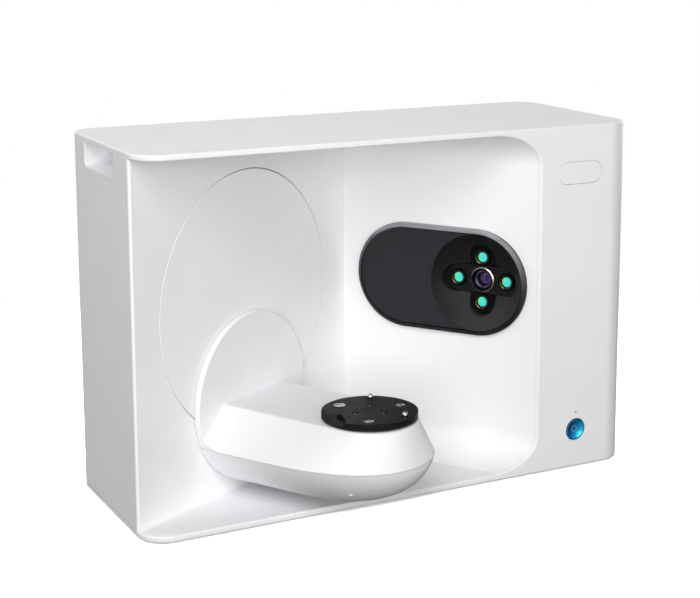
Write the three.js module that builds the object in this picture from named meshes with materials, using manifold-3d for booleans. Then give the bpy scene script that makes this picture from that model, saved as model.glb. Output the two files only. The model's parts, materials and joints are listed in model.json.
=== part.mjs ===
// Desktop 3D scanner: an open-fronted housing, an arm that swings on the left inner wall
// and carries a turntable, and a camera head on the right inner wall.
// Millimetres, +Z up. The object faces -Y and its origin is on the ground under its middle.

import * as THREE from 'three';
import Module from 'manifold-3d';
import { mergeVertices } from 'three/addons/utils/BufferGeometryUtils.js';

const wasm = await Module();
wasm.setup();

// Working allowances
const overrun = 5;
const seat = 0.3;
const seam = 0.15;
const weldDistance = 0.0005;

// Housing
const bodyWidth = 505;
const bodyDepth = 195.6;
const bodyHeight = 340;
const panelThickness = 5.4;
const wall = 3;
const liner = 3;
const cornerRadius = 26.4;
const topEdgeRadius = 1.6;
const baseEdgeRadius = 0.8;
const footHeight = 2;
const footRadius = 9;
const footInset = 34;
const footChamfer = 0.5;

// Plan of the scan cavity
const swingEdgeSetback = 23.9;
const columnWidth = 106.3;
const innerCornerGap = 17.35;
const innerCornerShare = 0.6941;
const filletReach = 41;
const filletRise = 31;
const filletTip = 0.4;
const noseRadius = 1.9;
const openingEdgeRadius = 1.6;

// Handle recesses in the two sides
const gripLength = 84;
const gripHeight = 22.4;
const gripDepth = 24;
const gripWall = 2.5;
const gripY = 6;
const gripCornerRadius = 3;

// Swing drive behind the left inner wall
const discTopMargin = 29.2;
const discLowMargin = 53.6;
const discShift = -0.4;
const discGap = 0.5;
const discThickness = 3;
const discRimDepth = 8;
const discRimWall = 3;
const discEdge = 0.6;
const discBossRadius = 34;
const discBossDepth = 12;
const cableHoleRadius = 9;
const cableHoleHeight = 74;
const hubFlangeRadius = 32;
const hubFlangeThickness = 4;
const hubSeatRadius = 24;
const hubSeatLength = 12;
const hubJournalRadius = 17.5;
const hubJournalLength = 22;
const hubBoreRadius = 9;
const bearingRingWidth = 10;
const bearingLength = 11;
const bearingGrooveDepth = 0.8;
const bearingGrooveWidth = 3.6;
const gearModule = 2.5;
const gearTeeth = 42;
const pinionTeeth = 14;
const gearWidth = 10;
const gearBacklash = 0.3;
const pressureAngle = THREE.MathUtils.degToRad(20);
const addendumShare = 0.95;
const dedendumShare = 1.25;
const frameWidth = 150;
const frameTopMargin = 12.65;
const frameSheet = 3;
const frameRearGap = 7.5;
const frameBossWall = 6;
const frameWindowRadius = 22;
const swingMotorSide = 42.3;
const swingMotorLength = 34;
const motorCornerCut = 4;
const motorPilotRadius = 11;
const motorPilotLength = 2;
const motorShaftRadius = 2.5;
const motorShaftGrip = 6;

// Swing arm
const flangeRadius = 79.7;
const flangeThickness = 6.2;
const flangeCentreHeight = 91;
const partingHeight = 57.6;
const armHalfWidth = 74.3;
const armTipStart = 80.5;
const armTipReach = 115;
const armTipPower = 2.3;
const armRootBlend = 26;
const armRootRelief = 2.8;
const armTopRootHeight = 93;
const armTopTipHeight = 90.2;
const armTopRadius = 44.5;
const armTopBlend = 2;
const plateOut = 138;
const armSkin = 2.6;
const keelOut = 100;
const hullScrewRadius = 2.2;
const hullScrewRootAcross = 56;
const hullScrewRootOut = 24;
const hullScrewTipAcross = 45;
const hullScrewTipOut = 148;
const armFrameLevel = 60;
const armFrameThickness = 3;
const armFrameHalfWidth = 40;
const armFrameRootOut = 14;
const armFrameTipOut = 165;
const armFrameCorner = 12;
const postRadius = 4;
const postAcross = 32;
const postRootOut = 32;
const postTipOut = 116;

// Turntable and its drive
const plateRadius = 43.8;
const plateThickness = 6.2;
const plateLevel = 91.8;
const plateEdge = 0.7;
const magnetRadius = 5.6;
const magnetThickness = 1.5;
const magnetCircle = 32;
const magnetRecess = 0.2;
const pinCircle = 36.5;
const pinRadius = 2.7;
const pinRise = 4.2;
const pinSunk = 3;
const pinWaist = 0.8;
const keyHoleRadius = 2.9;
const keyHoleCircle = 15;
const keyHoleDepth = 3;
const notchFlat = 33;
const notchRim = 1.5;
const slotStepDepth = 4.5;
const slotStart = -3.4;
const slotRampEnd = 14.5;
const slotMouthOut = 43;
const slotMouthAlong = 23.7;
const slotDepth = 3.4;
const spindleRadius = 9;
const spindleFlangeRadius = 15;
const spindleFlangeThickness = 5;
const spindleBearingWall = 4.7;
const spindleBearingHeight = 8;
const spindleBossWall = 3;
const pulleyLevel = 74;
const pulleyHeight = 8;
const pulleyFlange = 1.2;
const pulleyFlangeRise = 2;
const platePulleyRadius = 22;
const motorPulleyRadius = 9;
const plateMotorOut = 62;
const plateMotorSide = 35;
const plateMotorHeight = 30;
const beltThickness = 1.4;

// Camera head
const headShift = 3.2;
const headLift = 14.1;
const headRadius = 52.9;
const headHalfStraight = 38.9;
const headRise = 6;
const headSideRise = 4;
const headBevel = 3.9;
const headBodyRadius = 49.5;
const headBodyDepth = 24;
const headFaceRecess = 3.2;
const headFaceThickness = 2.4;
const headFaceRadius = 48.5;
const headFaceGap = 0.5;
const headShell = 3;
const opticsRadius = 45.7;
const opticsBack = 21.5;
const dishRadius = 47.9;
const dishDepth = 24;
const dishRings = 4;
const lensAcross = 25.85;
const lensUp = 22.4;
const pocketRadius = 13.7;
const barRadius = 13.8;
const barHalfStraight = 26;
const barThickness = 3;
const barSink = 17.6;
const barLensHoleRadius = 9;
const barrelRadius = 7.3;
const barrelBore = 5.6;
const barrelBack = 24;
const barrelLipRise = 1.7;
const lensSink = 1;
const lensThickness = 2.4;
const lensCrown = 0.7;
const projectorRadius = 10.7;
const projectorRingRadius = 12.5;
const projectorRingThickness = 1;
const projectorRise = 2;
const projectorMouthRadius = 9.8;
const projectorThroatRadius = 7.2;
const projectorStepDepth = 2.6;
const projectorLensSink = 9;

// Controls and badge on the right front column
const buttonInset = 61.7;
const buttonHeight = 37.3;
const buttonRadius = 11.05;
const buttonSink = 0.3;
const buttonDish = 2;
const buttonCapDepth = 6;
const buttonStemRadius = 3;
const buttonStemLength = 11;
const bezelRing = 0.8;
const bezelProud = 0.3;
const bezelDepth = 16;
const bezelFloor = 2;
const bezelFlange = 3;
const lightRise = 17.6;
const lightRadius = 1.1;
const lightLength = 6;
const badgeInset = 61.8;
const badgeDrop = 45.8;
const badgeRadius = 10.65;
const badgeHalfStraight = 14.25;
const badgeGap = 0.35;
const badgePocket = 1.9;
const badgeThickness = 1.5;

// Rear cover, sockets and electronics
const ventCount = 11;
const ventWidth = 2.4;
const ventHeight = 46;
const ventPitch = 7;
const ventInset = 102.5;
const ventDrop = 90;
const inletInset = 56.5;
const inletLevel = 40;
const inletWidth = 27;
const inletHeight = 20;
const inletDepth = 18;
const inletSkin = 2;
const portSpacing = 36;
const portLevel = 40;
const portWidth = 12;
const portHeight = 11;
const portDepth = 16;
const portSkin = 1.6;
const socketLip = 1.5;
const socketLipRise = 0.8;
const boardInset = 92.5;
const boardLevel = 150;
const boardWidth = 120;
const boardHeight = 150;
const boardThickness = 1.6;
const boardStandoff = 8;
const standoffRadius = 3.5;
const standoffInset = 8;
const chipHeight = 3;
const supplyInset = 47.5;
const supplyGap = 77.8;
const supplyWidth = 62;
const supplyDepth = 100;
const supplyHeight = 36;
const supplyEdge = 2;

// Numbers of flat sides on round work
const finelyRound = 44;
const round = 28;
const hiddenRound = 24;
const smallRound = 12;
const cornerSteps = 6;

const floorLevel = panelThickness;
const ceilingLevel = bodyHeight - panelThickness;
const frontY = -bodyDepth / 2;
const rearY = bodyDepth / 2;
const sideX = bodyWidth / 2;
const openingEdgeX = sideX - columnWidth;
const middleLevel = (floorLevel + ceilingLevel) / 2;
const headHeight = middleLevel + headLift;
const discRadius = (ceilingLevel - floorLevel - discTopMargin - discLowMargin) / 2;
const swingAxisHeight = floorLevel + discLowMargin + discRadius;
const buttonX = sideX - buttonInset;
const lightHeight = buttonHeight + lightRise;
const badgeX = sideX - badgeInset;
const badgeHeight = bodyHeight - badgeDrop;
const ventX = ventInset - sideX;
const ventLevel = bodyHeight - ventDrop;
const inletX = sideX - inletInset;
const portX = inletX - portSpacing;
const boardX = sideX - boardInset;
const supplyX = sideX - supplyInset;
const supplyY = rearY - supplyGap;

// Closed solids

function toSolid(geometry) {
  const bare = geometry.clone();
  bare.deleteAttribute('normal');
  bare.deleteAttribute('uv');
  const merged = mergeVertices(bare, weldDistance);
  const places = merged.attributes.position;
  const corners = [0, 1, 2].map(() => new THREE.Vector3());
  const faces = [];
  let volume = 0;
  for (let start = 0; start < merged.index.count; start += 3) {
    const face = [0, 1, 2].map((step) => merged.index.getX(start + step));
    if (new Set(face).size === 3) {
      face.forEach((corner, step) => corners[step].fromBufferAttribute(places, corner));
      volume += corners[0].dot(corners[1].clone().cross(corners[2]));
      faces.push(face);
    }
  }
  const outward = volume > 0 ? faces : faces.map(([a, b, c]) => [a, c, b]);
  return new wasm.Manifold(new wasm.Mesh({
    numProp: 3,
    vertProperties: new Float32Array(places.array),
    triVerts: new Uint32Array(outward.flat()),
  }));
}

function toGeometry(solid) {
  const mesh = solid.getMesh();
  const geometry = new THREE.BufferGeometry();
  geometry.setAttribute('position', new THREE.BufferAttribute(new Float32Array(mesh.vertProperties), 3));
  geometry.setIndex(new THREE.BufferAttribute(new Uint32Array(mesh.triVerts), 1));
  geometry.computeVertexNormals();
  return geometry;
}

function cut(body, ...tools) {
  const start = toSolid(body);
  return toGeometry(tools.reduce((rest, tool) => rest.subtract(toSolid(tool)), start));
}

function join(...bodies) {
  return toGeometry(bodies.map(toSolid).reduce((sum, body) => sum.add(body)));
}

function common(body, tool) {
  return toGeometry(toSolid(body).intersect(toSolid(tool)));
}

// A block between its lowest and highest corners
function block(low, high) {
  const size = high.map((value, axis) => value - low[axis]);
  const middle = high.map((value, axis) => (value + low[axis]) / 2);
  return new THREE.BoxGeometry(...size).translate(...middle);
}

// A straight body along Z with the given outline
function prism(points, bottom, top) {
  const shape = new THREE.Shape(points.map(([x, y]) => new THREE.Vector2(x, y)));
  const geometry = new THREE.ExtrudeGeometry(shape, { depth: top - bottom, bevelEnabled: false });
  return geometry.translate(0, 0, bottom);
}

// The same along X, with an outline given as Y and Z
function prismAlongX(points, from, to) {
  const turn = new THREE.Matrix4().makeBasis(
    new THREE.Vector3(0, 1, 0),
    new THREE.Vector3(0, 0, 1),
    new THREE.Vector3(1, 0, 0),
  );
  return prism(points, from, to).applyMatrix4(turn);
}

// A body turned about Z through a profile of radius and height
function turned(profile, sides) {
  const points = profile.map(([radius, height]) => new THREE.Vector2(radius, height));
  const [first] = points;
  const last = points[points.length - 1];
  if (first.x > 0 || last.x > 0) {
    points.push(first.clone());
  }
  return new THREE.LatheGeometry(points, sides).rotateX(Math.PI / 2);
}

function bar(radius, from, to, sides, x = 0, y = 0) {
  return turned([[0, from], [radius, from], [radius, to], [0, to]], sides).translate(x, y, 0);
}

function capFaces(outline) {
  const flat = outline.map(([x, y]) => new THREE.Vector2(x, y));
  const faces = THREE.ShapeUtils.triangulateShape(flat, []);
  return THREE.ShapeUtils.isClockWise(flat) ? faces.map(([a, b, c]) => [a, c, b]) : faces;
}

// A closed skin through outlines of [x, y, z] that have the same number of points
function loft(outlines) {
  const count = outlines[0].length;
  const faces = [];
  for (let level = 0; level + 1 < outlines.length; level += 1) {
    for (let k = 0; k < count; k += 1) {
      const here = level * count + k;
      const next = level * count + ((k + 1) % count);
      faces.push(here, next, next + count, here, next + count, here + count);
    }
  }
  const last = (outlines.length - 1) * count;
  for (const [a, b, c] of capFaces(outlines[0])) {
    faces.push(a, c, b);
  }
  for (const [a, b, c] of capFaces(outlines[outlines.length - 1])) {
    faces.push(last + a, last + b, last + c);
  }
  const geometry = new THREE.BufferGeometry();
  geometry.setAttribute('position', new THREE.Float32BufferAttribute(outlines.flat(2), 3));
  geometry.setIndex(faces);
  return geometry;
}

// Outlines

function arc(x, y, acrossRadius, upRadius, from, to, steps) {
  return Array.from({ length: steps + 1 }, (_, k) => {
    const angle = from + ((to - from) * k) / steps;
    return [x + acrossRadius * Math.cos(angle), y + upRadius * Math.sin(angle)];
  });
}

function roundedRectangle(width, depth, radius, steps = cornerSteps) {
  const signs = [[1, -1], [1, 1], [-1, 1], [-1, -1]];
  return signs.flatMap(([across, along], quarter) => {
    const from = ((quarter - 1) * Math.PI) / 2;
    const x = across * (width / 2 - radius);
    const y = along * (depth / 2 - radius);
    return arc(x, y, radius, radius, from, from + Math.PI / 2, steps);
  });
}

function stadium(halfStraight, radius, steps = round / 2) {
  const right = arc(halfStraight, 0, radius, radius, -Math.PI / 2, Math.PI / 2, steps);
  const left = arc(-halfStraight, 0, radius, radius, Math.PI / 2, (Math.PI * 3) / 2, steps);
  return [...right, ...left];
}

const atLevel = (points, level) => points.map(([x, y]) => [x, y, level]);

// A body whose outline shrinks or grows with height: rows of [height, inset]
function stepped(outlineAt, rows) {
  return loft(rows.map(([height, inset]) => atLevel(outlineAt(inset), height)));
}

// Rows for an edge that rounds off upwards to the given top
function roundedTopRows(top, radius, steps = 3) {
  return Array.from({ length: steps + 1 }, (_, k) => {
    const angle = (k / steps) * (Math.PI / 2);
    return [top - radius * (1 - Math.sin(angle)), radius * (1 - Math.cos(angle))];
  });
}

// Plan of the two inner walls
const swingEdge = new THREE.Vector2(-sideX, frontY + swingEdgeSetback);
const openingEdge = new THREE.Vector2(openingEdgeX, frontY);
const innerCorner = new THREE.Vector2(
  swingEdge.x + (openingEdge.x - swingEdge.x) * innerCornerShare,
  rearY - innerCornerGap,
);
const swingWallLength = swingEdge.distanceTo(innerCorner);
const cameraWallLength = innerCorner.distanceTo(openingEdge);
const swingDirection = innerCorner.clone().sub(swingEdge).normalize();
const swingWallAngle = Math.atan2(swingDirection.y, swingDirection.x);
const cameraWallAngle = Math.atan2(openingEdge.y - innerCorner.y, openingEdge.x - innerCorner.x);
const swingAxisAlong = swingWallLength / 2 + discShift;
const headAlong = cameraWallLength / 2 + headShift;

// The frame of a wall: X along it, Y up and Z out of its face
function wallGroup(start, angle) {
  const group = new THREE.Group();
  group.position.set(start.x, start.y, 0);
  group.rotation.set(Math.PI / 2, 0, angle, 'ZYX');
  group.updateMatrix();
  return group;
}

const frontSide = wallGroup(new THREE.Vector2(0, frontY), 0);
const rearSide = wallGroup(new THREE.Vector2(0, rearY), Math.PI);
const swingSide = wallGroup(swingEdge, swingWallAngle);
const cameraSide = wallGroup(innerCorner, cameraWallAngle);

// Puts a body that was made in a wall's frame into the housing's frame
const inHousing = (geometry, side) => geometry.applyMatrix4(side.matrix);

// Materials
const whiteShell = { color: 0xf1f2f4, roughness: 0.42, metalness: 0 };
const innerWhite = { color: 0xf4f5f6, roughness: 0.5, metalness: 0 };
const darkFace = { color: 0x333236, roughness: 0.5, metalness: 0 };
const blackPlastic = { color: 0x121214, roughness: 0.5, metalness: 0 };
const steel = { color: 0xc4c6c9, roughness: 0.3, metalness: 1 };
const aluminium = { color: 0xb4b7bb, roughness: 0.4, metalness: 1 };
const brass = { color: 0xc79a6b, roughness: 0.3, metalness: 1 };
const coatedGlass = { color: 0x2fd8a6, roughness: 0.1, metalness: 0 };
const violetGlass = { color: 0x3b2a70, roughness: 0.1, metalness: 0 };
const blueMetal = { color: 0x0b72b5, roughness: 0.25, metalness: 0.8 };
const rubber = { color: 0x2b2c2e, roughness: 0.8, metalness: 0 };
const boardGreen = { color: 0x1e5b3a, roughness: 0.6, metalness: 0 };
const paleLight = { color: 0xcfd6dd, roughness: 0.4, metalness: 0 };

const scanner = new THREE.Group();

function addPiece(parent, name, geometry, finish) {
  const piece = new THREE.Mesh(toGeometry(toSolid(geometry)), new THREE.MeshStandardMaterial(finish));
  piece.name = name;
  parent.add(piece);
  return piece;
}

// Base and top panels
const panelOutline = (inset) => roundedRectangle(
  bodyWidth - inset * 2,
  bodyDepth - inset * 2,
  cornerRadius - inset,
);

addPiece(scanner, 'base_panel', stepped(panelOutline, [
  [0, baseEdgeRadius],
  [baseEdgeRadius, 0],
  [floorLevel - baseEdgeRadius, 0],
  [floorLevel, baseEdgeRadius],
]), whiteShell);

addPiece(scanner, 'top_panel', stepped(panelOutline, [
  [ceilingLevel, 0],
  ...roundedTopRows(bodyHeight, topEdgeRadius),
]), whiteShell);

// Feet
function foot() {
  return turned([
    [0, -footHeight],
    [footRadius - footChamfer, -footHeight],
    [footRadius, footChamfer - footHeight],
    [footRadius, 0],
    [0, 0],
  ], smallRound);
}

for (const [name, across, along] of [
  ['foot_front_left', -1, -1],
  ['foot_front_right', 1, -1],
  ['foot_rear_left', -1, 1],
  ['foot_rear_right', 1, 1],
]) {
  const piece = addPiece(scanner, name, foot(), rubber);
  piece.position.set(across * (sideX - footInset), along * (rearY - footInset), 0);
}

// Handle recesses
function gripNotch(from, to) {
  const outline = roundedRectangle(gripLength, gripHeight * 2, gripCornerRadius, 3);
  return prismAlongX(outline.map(([y, z]) => [y + gripY, z + ceilingLevel]), from, to);
}

function gripCup() {
  const back = sideX - wall - seam;
  const bottom = ceilingLevel - gripHeight - gripWall;
  const halfLength = gripLength / 2;
  const body = block(
    [back - gripDepth, gripY - halfLength - gripWall, bottom],
    [back, gripY + halfLength + gripWall, ceilingLevel - seam],
  );
  const scoop = prism(
    arc(0, 0, gripDepth - gripWall, gripHeight, 0, Math.PI * 2, round),
    -halfLength,
    halfLength,
  );
  scoop.rotateX(Math.PI / 2).translate(back, gripY, ceilingLevel);
  return cut(body, scoop);
}

const mirrored = (geometry) => geometry.applyMatrix4(new THREE.Matrix4().makeScale(-1, 1, 1));

addPiece(scanner, 'right_grip', gripCup(), whiteShell);
addPiece(scanner, 'left_grip', mirrored(gripCup()), whiteShell);

// Left side shell, from the inner wall's edge round the rear corner
const rearCornerX = sideX - cornerRadius;
const rearCornerY = rearY - cornerRadius;
const swingWallRise = Math.tan(swingWallAngle);
const sideShellFrontY = swingEdge.y + (liner + seam) / Math.cos(swingWallAngle);

function leftSideShell() {
  const quarter = [Math.PI, Math.PI / 2];
  const outer = arc(-rearCornerX, rearCornerY, cornerRadius, cornerRadius, ...quarter, cornerSteps);
  const innerRadius = cornerRadius - wall;
  const inner = arc(-rearCornerX, rearCornerY, innerRadius, innerRadius, ...quarter, cornerSteps);
  const outline = [
    [-sideX, sideShellFrontY],
    ...outer,
    ...inner.reverse(),
    [wall - sideX, sideShellFrontY + wall * swingWallRise],
  ];
  return cut(
    prism(outline, floorLevel, ceilingLevel),
    gripNotch(-sideX - overrun, wall - sideX + overrun),
  );
}

addPiece(scanner, 'left_side_shell', leftSideShell(), whiteShell);

// Right column, from the opening's edge round both right corners
const filletAcross = filletReach / Math.abs(Math.sin(cameraWallAngle));
const openingArcX = openingEdgeX - filletAcross;
const cameraWallSlant = 1 / Math.tan(cameraWallAngle);
const thinEndShare = 0.17;

function openingOutline(depth, grow) {
  const shift = depth * cameraWallSlant;
  const across = filletAcross + grow;
  const up = filletRise + grow;
  const lower = arc(openingArcX, floorLevel + filletRise, across, up, -Math.PI / 2, 0, cornerSteps * 2);
  const upper = arc(openingArcX, ceilingLevel - filletRise, across, up, 0, Math.PI / 2, cornerSteps * 2);
  const outline = [
    [-sideX, ceilingLevel + grow],
    [-sideX, floorLevel - grow],
    ...lower,
    ...upper,
  ];
  return outline.map(([x, y]) => [x + shift, y, -depth]);
}

function openingCutter() {
  const rows = roundedTopRows(0, openingEdgeRadius).map(([drop, inset]) => (
    openingOutline(-drop, inset)
  ));
  return loft([openingOutline(wall + overrun, 0), ...rows, openingOutline(-overrun, openingEdgeRadius)]);
}

const capsulePocket = () => prism(
  stadium(badgeHalfStraight, badgeRadius + badgeGap, smallRound / 2),
  -badgePocket,
  overrun,
).translate(badgeX, badgeHeight, 0);

function columnShell() {
  const radii = [cornerRadius, cornerRadius];
  const innerRadii = radii.map((radius) => radius - wall);
  const frontCorner = (r) => arc(rearCornerX, -rearCornerY, ...r, -Math.PI / 2, 0, cornerSteps);
  const rearCorner = (r) => arc(rearCornerX, rearCornerY, ...r, 0, Math.PI / 2, cornerSteps);
  const leftEdge = openingArcX + filletAcross * thinEndShare;
  const outline = [
    [leftEdge, frontY],
    ...frontCorner(radii),
    ...rearCorner(radii),
    ...rearCorner(innerRadii).reverse(),
    ...frontCorner(innerRadii).reverse(),
    [leftEdge, frontY + wall],
  ];
  const bezelHole = buttonRadius + seat + bezelRing + seat;
  return cut(
    prism(outline, floorLevel, ceilingLevel),
    inHousing(openingCutter(), frontSide),
    gripNotch(sideX - wall - overrun, sideX + overrun),
    inHousing(capsulePocket(), frontSide),
    inHousing(bar(bezelHole, -wall - overrun, overrun, round, buttonX, buttonHeight), frontSide),
    inHousing(bar(lightRadius + seat, -wall - overrun, overrun, smallRound, buttonX, lightHeight), frontSide),
  );
}

addPiece(scanner, 'column_shell', columnShell(), whiteShell);

// Rear cover between the two rear corners, with vents, sockets and board posts
const boardCorners = [[-1, -1], [1, -1], [1, 1], [-1, 1]].map(([across, up]) => [
  across * (boardWidth / 2 - standoffInset) - boardX,
  up * (boardHeight / 2 - standoffInset) + boardLevel,
]);

function socketHole(x, level, width, height) {
  const halfWidth = width / 2 + seat;
  const halfHeight = height / 2 + seat;
  return block(
    [-x - halfWidth, level - halfHeight, -wall - overrun],
    [-x + halfWidth, level + halfHeight, overrun],
  );
}

function rearCover() {
  const halfWidth = rearCornerX - seam;
  const plate = block([-halfWidth, floorLevel, -wall], [halfWidth, ceilingLevel, 0]);
  const posts = boardCorners.map(([x, y]) => (
    bar(standoffRadius, -wall - boardStandoff + seat, -wall / 2, smallRound, x, y)
  ));
  const vents = Array.from({ length: ventCount }, (_, k) => {
    const middle = -ventX + (k - (ventCount - 1) / 2) * ventPitch;
    return block(
      [middle - ventWidth / 2, ventLevel - ventHeight / 2, -wall - overrun],
      [middle + ventWidth / 2, ventLevel + ventHeight / 2, overrun],
    );
  });
  return cut(
    join(plate, ...posts),
    ...vents,
    socketHole(inletX, inletLevel, inletWidth, inletHeight),
    socketHole(portX, portLevel, portWidth, portHeight),
  );
}

scanner.add(rearSide);
addPiece(rearSide, 'rear_cover', rearCover(), whiteShell);

// A socket: a lipped box, open to the rear
function socket(width, height, depth, skin) {
  const halfWidth = width / 2;
  const halfHeight = height / 2;
  const body = block([-halfWidth, -halfHeight, -depth], [halfWidth, halfHeight, seam + socketLipRise]);
  const lip = block(
    [-halfWidth - socketLip, -halfHeight - socketLip, -wall - seat - socketLip],
    [halfWidth + socketLip, halfHeight + socketLip, -wall - seat],
  );
  const mouth = block(
    [skin - halfWidth, skin - halfHeight, skin - depth],
    [halfWidth - skin, halfHeight - skin, overrun],
  );
  return cut(join(body, lip), mouth).translate(0, 0, -seam - socketLipRise);
}

const inlet = addPiece(rearSide, 'power_inlet', socket(inletWidth, inletHeight, inletDepth, inletSkin), blackPlastic);
inlet.position.set(-inletX, inletLevel, 0);
const port = addPiece(rearSide, 'data_port', socket(portWidth, portHeight, portDepth, portSkin), steel);
port.position.set(-portX, portLevel, 0);

// Main board on the rear cover's posts, and the power supply on the base
const chipShares = [[-0.2, 0.2, 0.26, 0.2], [0.22, -0.16, 0.18, 0.14], [-0.1, -0.28, 0.3, 0.08]];

function mainBoard() {
  const front = -wall - boardStandoff;
  const back = front - boardThickness;
  const plate = block(
    [-boardWidth / 2, -boardHeight / 2, back],
    [boardWidth / 2, boardHeight / 2, front],
  );
  const chips = chipShares.map(([x, y, width, height]) => block(
    [boardWidth * (x - width / 2), boardHeight * (y - height / 2), back - chipHeight],
    [boardWidth * (x + width / 2), boardHeight * (y + height / 2), back + boardThickness / 2],
  ));
  return join(plate, ...chips);
}

const board = addPiece(rearSide, 'main_board', mainBoard(), boardGreen);
board.position.set(-boardX, boardLevel, 0);

const supplyOutline = (inset) => roundedRectangle(
  supplyWidth - inset * 2,
  supplyDepth - inset * 2,
  supplyEdge,
  1,
);
const supply = addPiece(scanner, 'power_supply', stepped(supplyOutline, [
  [0, 0],
  [supplyHeight - supplyEdge, 0],
  [supplyHeight, supplyEdge / 2],
]), aluminium);
supply.position.set(supplyX, supplyY, floorLevel + seat);

// Left inner wall with the round hole for the swing disc
function swingWall() {
  const sideRise = liner / Math.cos(swingWallAngle);
  const innerAngle = Math.PI / 2 - swingWallAngle;
  const tangent = noseRadius / Math.tan(innerAngle / 2);
  const noseX = noseRadius - sideX;
  const noseY = swingEdge.y + tangent;
  const nose = arc(noseX, noseY, noseRadius, noseRadius, Math.PI, Math.PI + Math.PI - innerAngle, 4);
  const length = swingWallLength + liner;
  const along = (distance, behind) => {
    const point = swingEdge.clone().addScaledVector(swingDirection, distance);
    return [point.x - behind * swingDirection.y, point.y + behind * swingDirection.x];
  };
  const outline = [...nose, along(length, 0), along(length, liner), [-sideX, swingEdge.y + sideRise]];
  const hole = bar(
    discRadius + discGap,
    -liner - overrun,
    overrun,
    finelyRound,
    swingAxisAlong,
    swingAxisHeight,
  );
  return cut(prism(outline, floorLevel, ceilingLevel), inHousing(hole, swingSide));
}

addPiece(scanner, 'swing_wall', swingWall(), innerWhite);

// Right inner wall, blended into floor and ceiling, with the opening for the camera head
function cameraWallProfile() {
  const tipAngle = Math.acos(1 - filletTip / filletRise);
  const backAngle = Math.acos(filletRise / (filletRise + liner));
  const low = floorLevel + seam;
  const blend = (across, up, from, to) => Array.from({ length: cornerSteps + 1 }, (_, k) => {
    const angle = from + ((to - from) * k) / cornerSteps;
    return [low + filletRise - up * Math.cos(angle), filletReach - across * Math.sin(angle)];
  });
  const face = blend(filletReach, filletRise, tipAngle, Math.PI / 2);
  const back = blend(filletReach + liner, filletRise + liner, backAngle, Math.PI / 2);
  const tip = [low, face[0][1]];
  const lowerHalf = [...back.reverse(), tip, ...face];
  const upperHalf = lowerHalf.map(([up, out]) => [floorLevel + ceilingLevel - up, out]).reverse();
  return [...lowerHalf, ...upperHalf];
}

function cameraWall() {
  const full = prismAlongX(cameraWallProfile(), -filletReach - overrun, cameraWallLength + filletReach);
  const behindSwingWall = block(
    [-bodyWidth, -overrun, -bodyDepth],
    [bodyWidth * 2, bodyHeight + overrun, seam],
  );
  const inFrontOfColumn = block(
    [-bodyWidth, -overrun, -wall - seam],
    [bodyWidth, bodyHeight + overrun, bodyDepth],
  );
  const headHole = prism(stadium(headHalfStraight, headBodyRadius + seat), -liner - overrun, overrun);
  headHole.translate(headAlong, headHeight, 0);
  return cut(
    inHousing(full, cameraSide),
    inHousing(behindSwingWall, swingSide),
    inHousing(inFrontOfColumn, frontSide),
    inHousing(headHole, cameraSide),
  );
}

addPiece(scanner, 'camera_wall', cameraWall(), innerWhite);

// Swing drive: fixed pieces
scanner.add(swingSide);
const swingAxis = new THREE.Group();
swingAxis.position.set(swingAxisAlong, swingAxisHeight, 0);
swingSide.add(swingAxis);

const hubFront = -discBossDepth - seat;
const hubSeatFront = hubFront - hubFlangeThickness;
const gearFront = hubSeatFront - seat;
const hubSeatEnd = hubSeatFront - hubSeatLength;
const bearingFront = hubSeatEnd - seat;
const bearingEnd = bearingFront - bearingLength;
const frameFace = bearingFront - hubFlangeThickness;
const frameBack = frameFace - frameSheet;
const bearingInner = hubJournalRadius + seat;
const bearingOuter = bearingInner + bearingRingWidth;
const pinionUp = (gearModule * (gearTeeth + pinionTeeth)) / 2;
const frameTop = swingAxisHeight + pinionUp + swingMotorSide / 2 + frameTopMargin;

// The frame's flange reaches back to a gap before the rear cover, at its end towards the inner corner
const frameEnd = swingEdge.clone().addScaledVector(swingDirection, swingAxisAlong + frameWidth / 2);
const frameFlange = (rearY - wall - frameRearGap - frameEnd.y) / swingDirection.x + frameFace;

function swingFrame() {
  const halfWidth = frameWidth / 2;
  const bottom = floorLevel + seat - swingAxisHeight;
  const top = frameTop - swingAxisHeight;
  const pan = block([-halfWidth, bottom, frameFace - frameFlange], [halfWidth, top, frameFace]);
  const hollow = block(
    [frameSheet - halfWidth, bottom + frameSheet, frameFace - frameFlange - overrun],
    [halfWidth - frameSheet, top - frameSheet, frameBack],
  );
  const boss = bar(bearingOuter + seat + frameBossWall, bearingEnd, bearingFront, hiddenRound);
  const windowUp = bottom / 2;
  return cut(
    join(cut(pan, hollow), boss),
    bar(bearingOuter + seat, bearingEnd - overrun, bearingFront + overrun, hiddenRound),
    bar(motorPilotRadius + seat, frameBack - overrun, frameFace + overrun, smallRound, 0, pinionUp),
    bar(frameWindowRadius, frameBack - overrun, frameFace + overrun, hiddenRound, -halfWidth / 2, windowUp),
    bar(frameWindowRadius, frameBack - overrun, frameFace + overrun, hiddenRound, halfWidth / 2, windowUp),
  );
}

addPiece(swingAxis, 'swing_frame', swingFrame(), aluminium);

function bearing(inner, outer, from, to, groove, sides) {
  const third = (outer - inner) / 3;
  return turned([
    [inner, from],
    [inner + third, from],
    [inner + third, from + groove],
    [outer - third, from + groove],
    [outer - third, from],
    [outer, from],
    [outer, to],
    [inner, to],
  ], sides);
}

addPiece(
  swingAxis,
  'swing_bearing',
  bearing(bearingInner, bearingOuter, bearingEnd, bearingFront, bearingGrooveDepth, hiddenRound),
  steel,
);

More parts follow.
